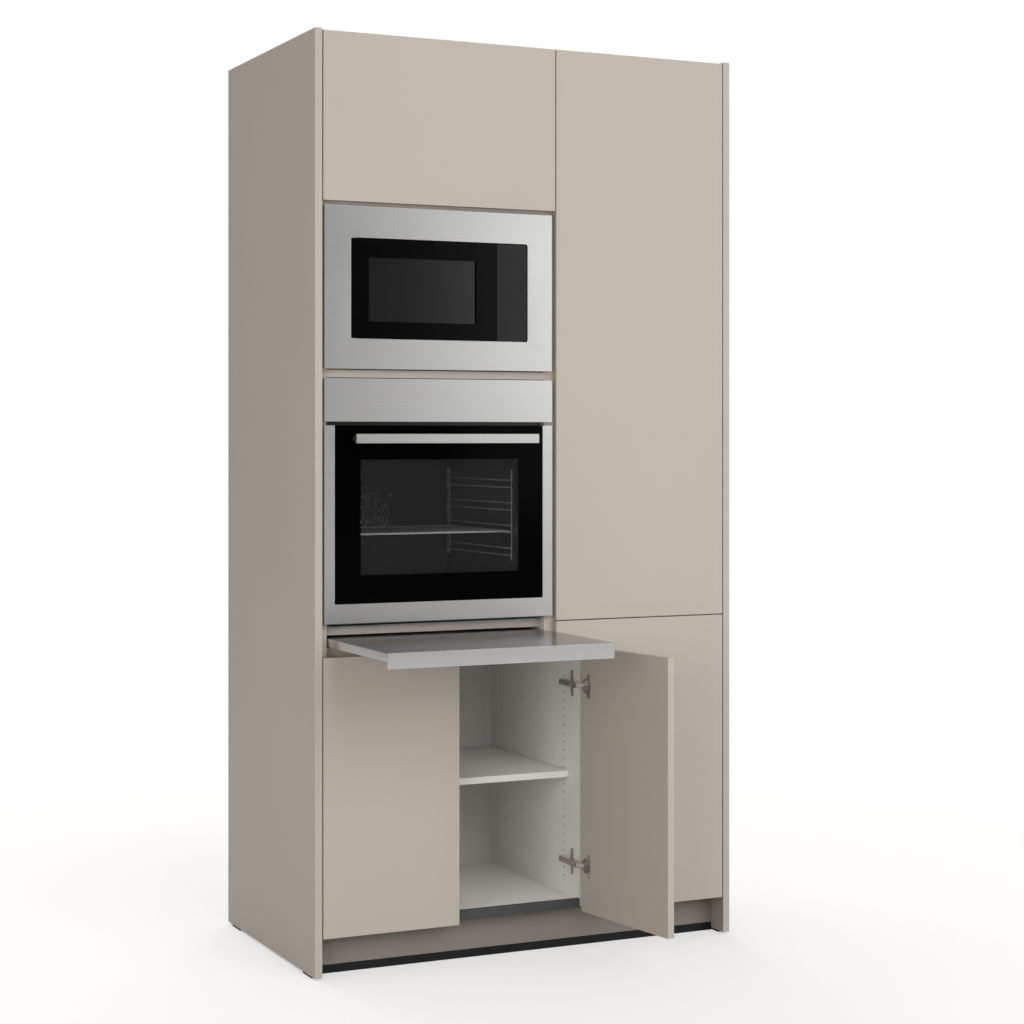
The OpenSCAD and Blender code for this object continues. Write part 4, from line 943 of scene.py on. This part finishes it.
def softbox(name, place, target, size, radiance, color, purpose):
    """A soft lamp whose face has the given brightness, where 1 is paper white."""
    data = bpy.data.lights.new(name, "AREA")
    data.shape = "RECTANGLE"
    data.size, data.size_y = size
    data.energy = radiance * math.pi * size[0] * size[1]
    data.color = color
    piece = bpy.data.objects.new(name, data)
    piece.location = place
    aim = Vector(target) - Vector(place)
    piece.rotation_euler = aim.to_track_quat("-Z", "Y").to_euler()
    piece.visible_camera = False
    piece.visible_diffuse = purpose == "surfaces"
    piece.visible_glossy = purpose == "reflections"
    bpy.context.scene.collection.objects.link(piece)


def world():
    """White behind the object, warm even light for the surfaces, and a darker room in reflections."""
    room = bpy.data.worlds.new("studio")
    bpy.context.scene.world = room
    room.use_nodes = True
    tree = room.node_tree
    tree.nodes.clear()
    ray = tree.nodes.new("ShaderNodeLightPath")
    shown = None
    for output, level in ((None, WORLD_LIGHT), ("Is Glossy Ray", WORLD_MIRRORED), ("Is Camera Ray", 1.0)):
        light = tree.nodes.new("ShaderNodeBackground")
        light.inputs["Color"].default_value = WORLD_TINT if output is None else PAPER_WHITE
        light.inputs["Strength"].default_value = level
        if shown is None:
            shown = light
            continue
        mix = tree.nodes.new("ShaderNodeMixShader")
        tree.links.new(ray.outputs[output], mix.inputs[0])
        tree.links.new(shown.outputs[0], mix.inputs[1])
        tree.links.new(light.outputs[0], mix.inputs[2])
        shown = mix
    out = tree.nodes.new("ShaderNodeOutputWorld")
    tree.links.new(shown.outputs[0], out.inputs["Surface"])


def floor_finish():
    """Pale floor: near white to the camera with the unit's shadow on it and white further off,
    and plain greys of its own in reflections and in the light that it throws back."""
    material = bpy.data.materials.new("studio_floor")
    material.use_nodes = True
    tree = material.node_tree
    tree.nodes.clear()

    def node(kind, **values):
        made = tree.nodes.new(kind)
        for key, value in values.items():
            made.inputs[key.replace("_", " ")].default_value = value
        return made

    def join(kind, first, second, factor=None):
        made = tree.nodes.new(kind)
        if factor is not None:
            tree.links.new(factor, made.inputs[0])
        tree.links.new(first.outputs[0], made.inputs[len(made.inputs) - 2])
        tree.links.new(second.outputs[0], made.inputs[len(made.inputs) - 1])
        return made

    bounce = node("ShaderNodeBsdfDiffuse", Color=shade(PAPER_WHITE, FLOOR_BOUNCE))
    matt = node("ShaderNodeBsdfDiffuse", Color=shade(PAPER_WHITE, FLOOR_LOOK))
    glow = node("ShaderNodeEmission", Strength=FLOOR_GLOW)
    white = node("ShaderNodeEmission", Strength=1.0)
    place = node("ShaderNodeTexCoord")
    away = node("ShaderNodeVectorMath")
    away.operation = "LENGTH"
    tree.links.new(place.outputs["Object"], away.inputs[0])
    far = node("ShaderNodeMapRange", From_Min=FLOOR_FADE[0], From_Max=FLOOR_FADE[1])
    tree.links.new(away.outputs["Value"], far.inputs["Value"])
    near_look = join("ShaderNodeAddShader", matt, glow)
    look = join("ShaderNodeMixShader", near_look, white, far.outputs[0])
    ray = node("ShaderNodeLightPath")
    mirrored = node("ShaderNodeBsdfDiffuse", Color=shade(PAPER_WHITE, FLOOR_MIRRORED))
    unseen = join("ShaderNodeMixShader", bounce, mirrored, ray.outputs["Is Glossy Ray"])
    shown = join("ShaderNodeMixShader", unseen, look, ray.outputs["Is Camera Ray"])
    out = tree.nodes.new("ShaderNodeOutputMaterial")
    tree.links.new(shown.outputs[0], out.inputs["Surface"])
    return material


def studio():
    """The world, the lamps and the floor."""
    world()
    for lamp in LAMPS:
        softbox(*lamp)
    reach = FLOOR_REACH
    mesh = bpy.data.meshes.new("floor")
    mesh.from_pydata([(-reach, -reach, 0), (reach, -reach, 0), (reach, reach, 0), (-reach, reach, 0)],
                     [], [(0, 1, 2, 3)])
    mesh.materials.append(floor_finish())
    floor = bpy.data.objects.new("floor", mesh)
    bpy.context.scene.collection.objects.link(floor)


dress()
camera()
hinge_details()
bumpers()
oven_details()
microwave_seal()
turntable_ring()
rear_screws()
pin_collars()
soften()
studio()
bpy.context.scene.view_settings.view_transform = "Standard"
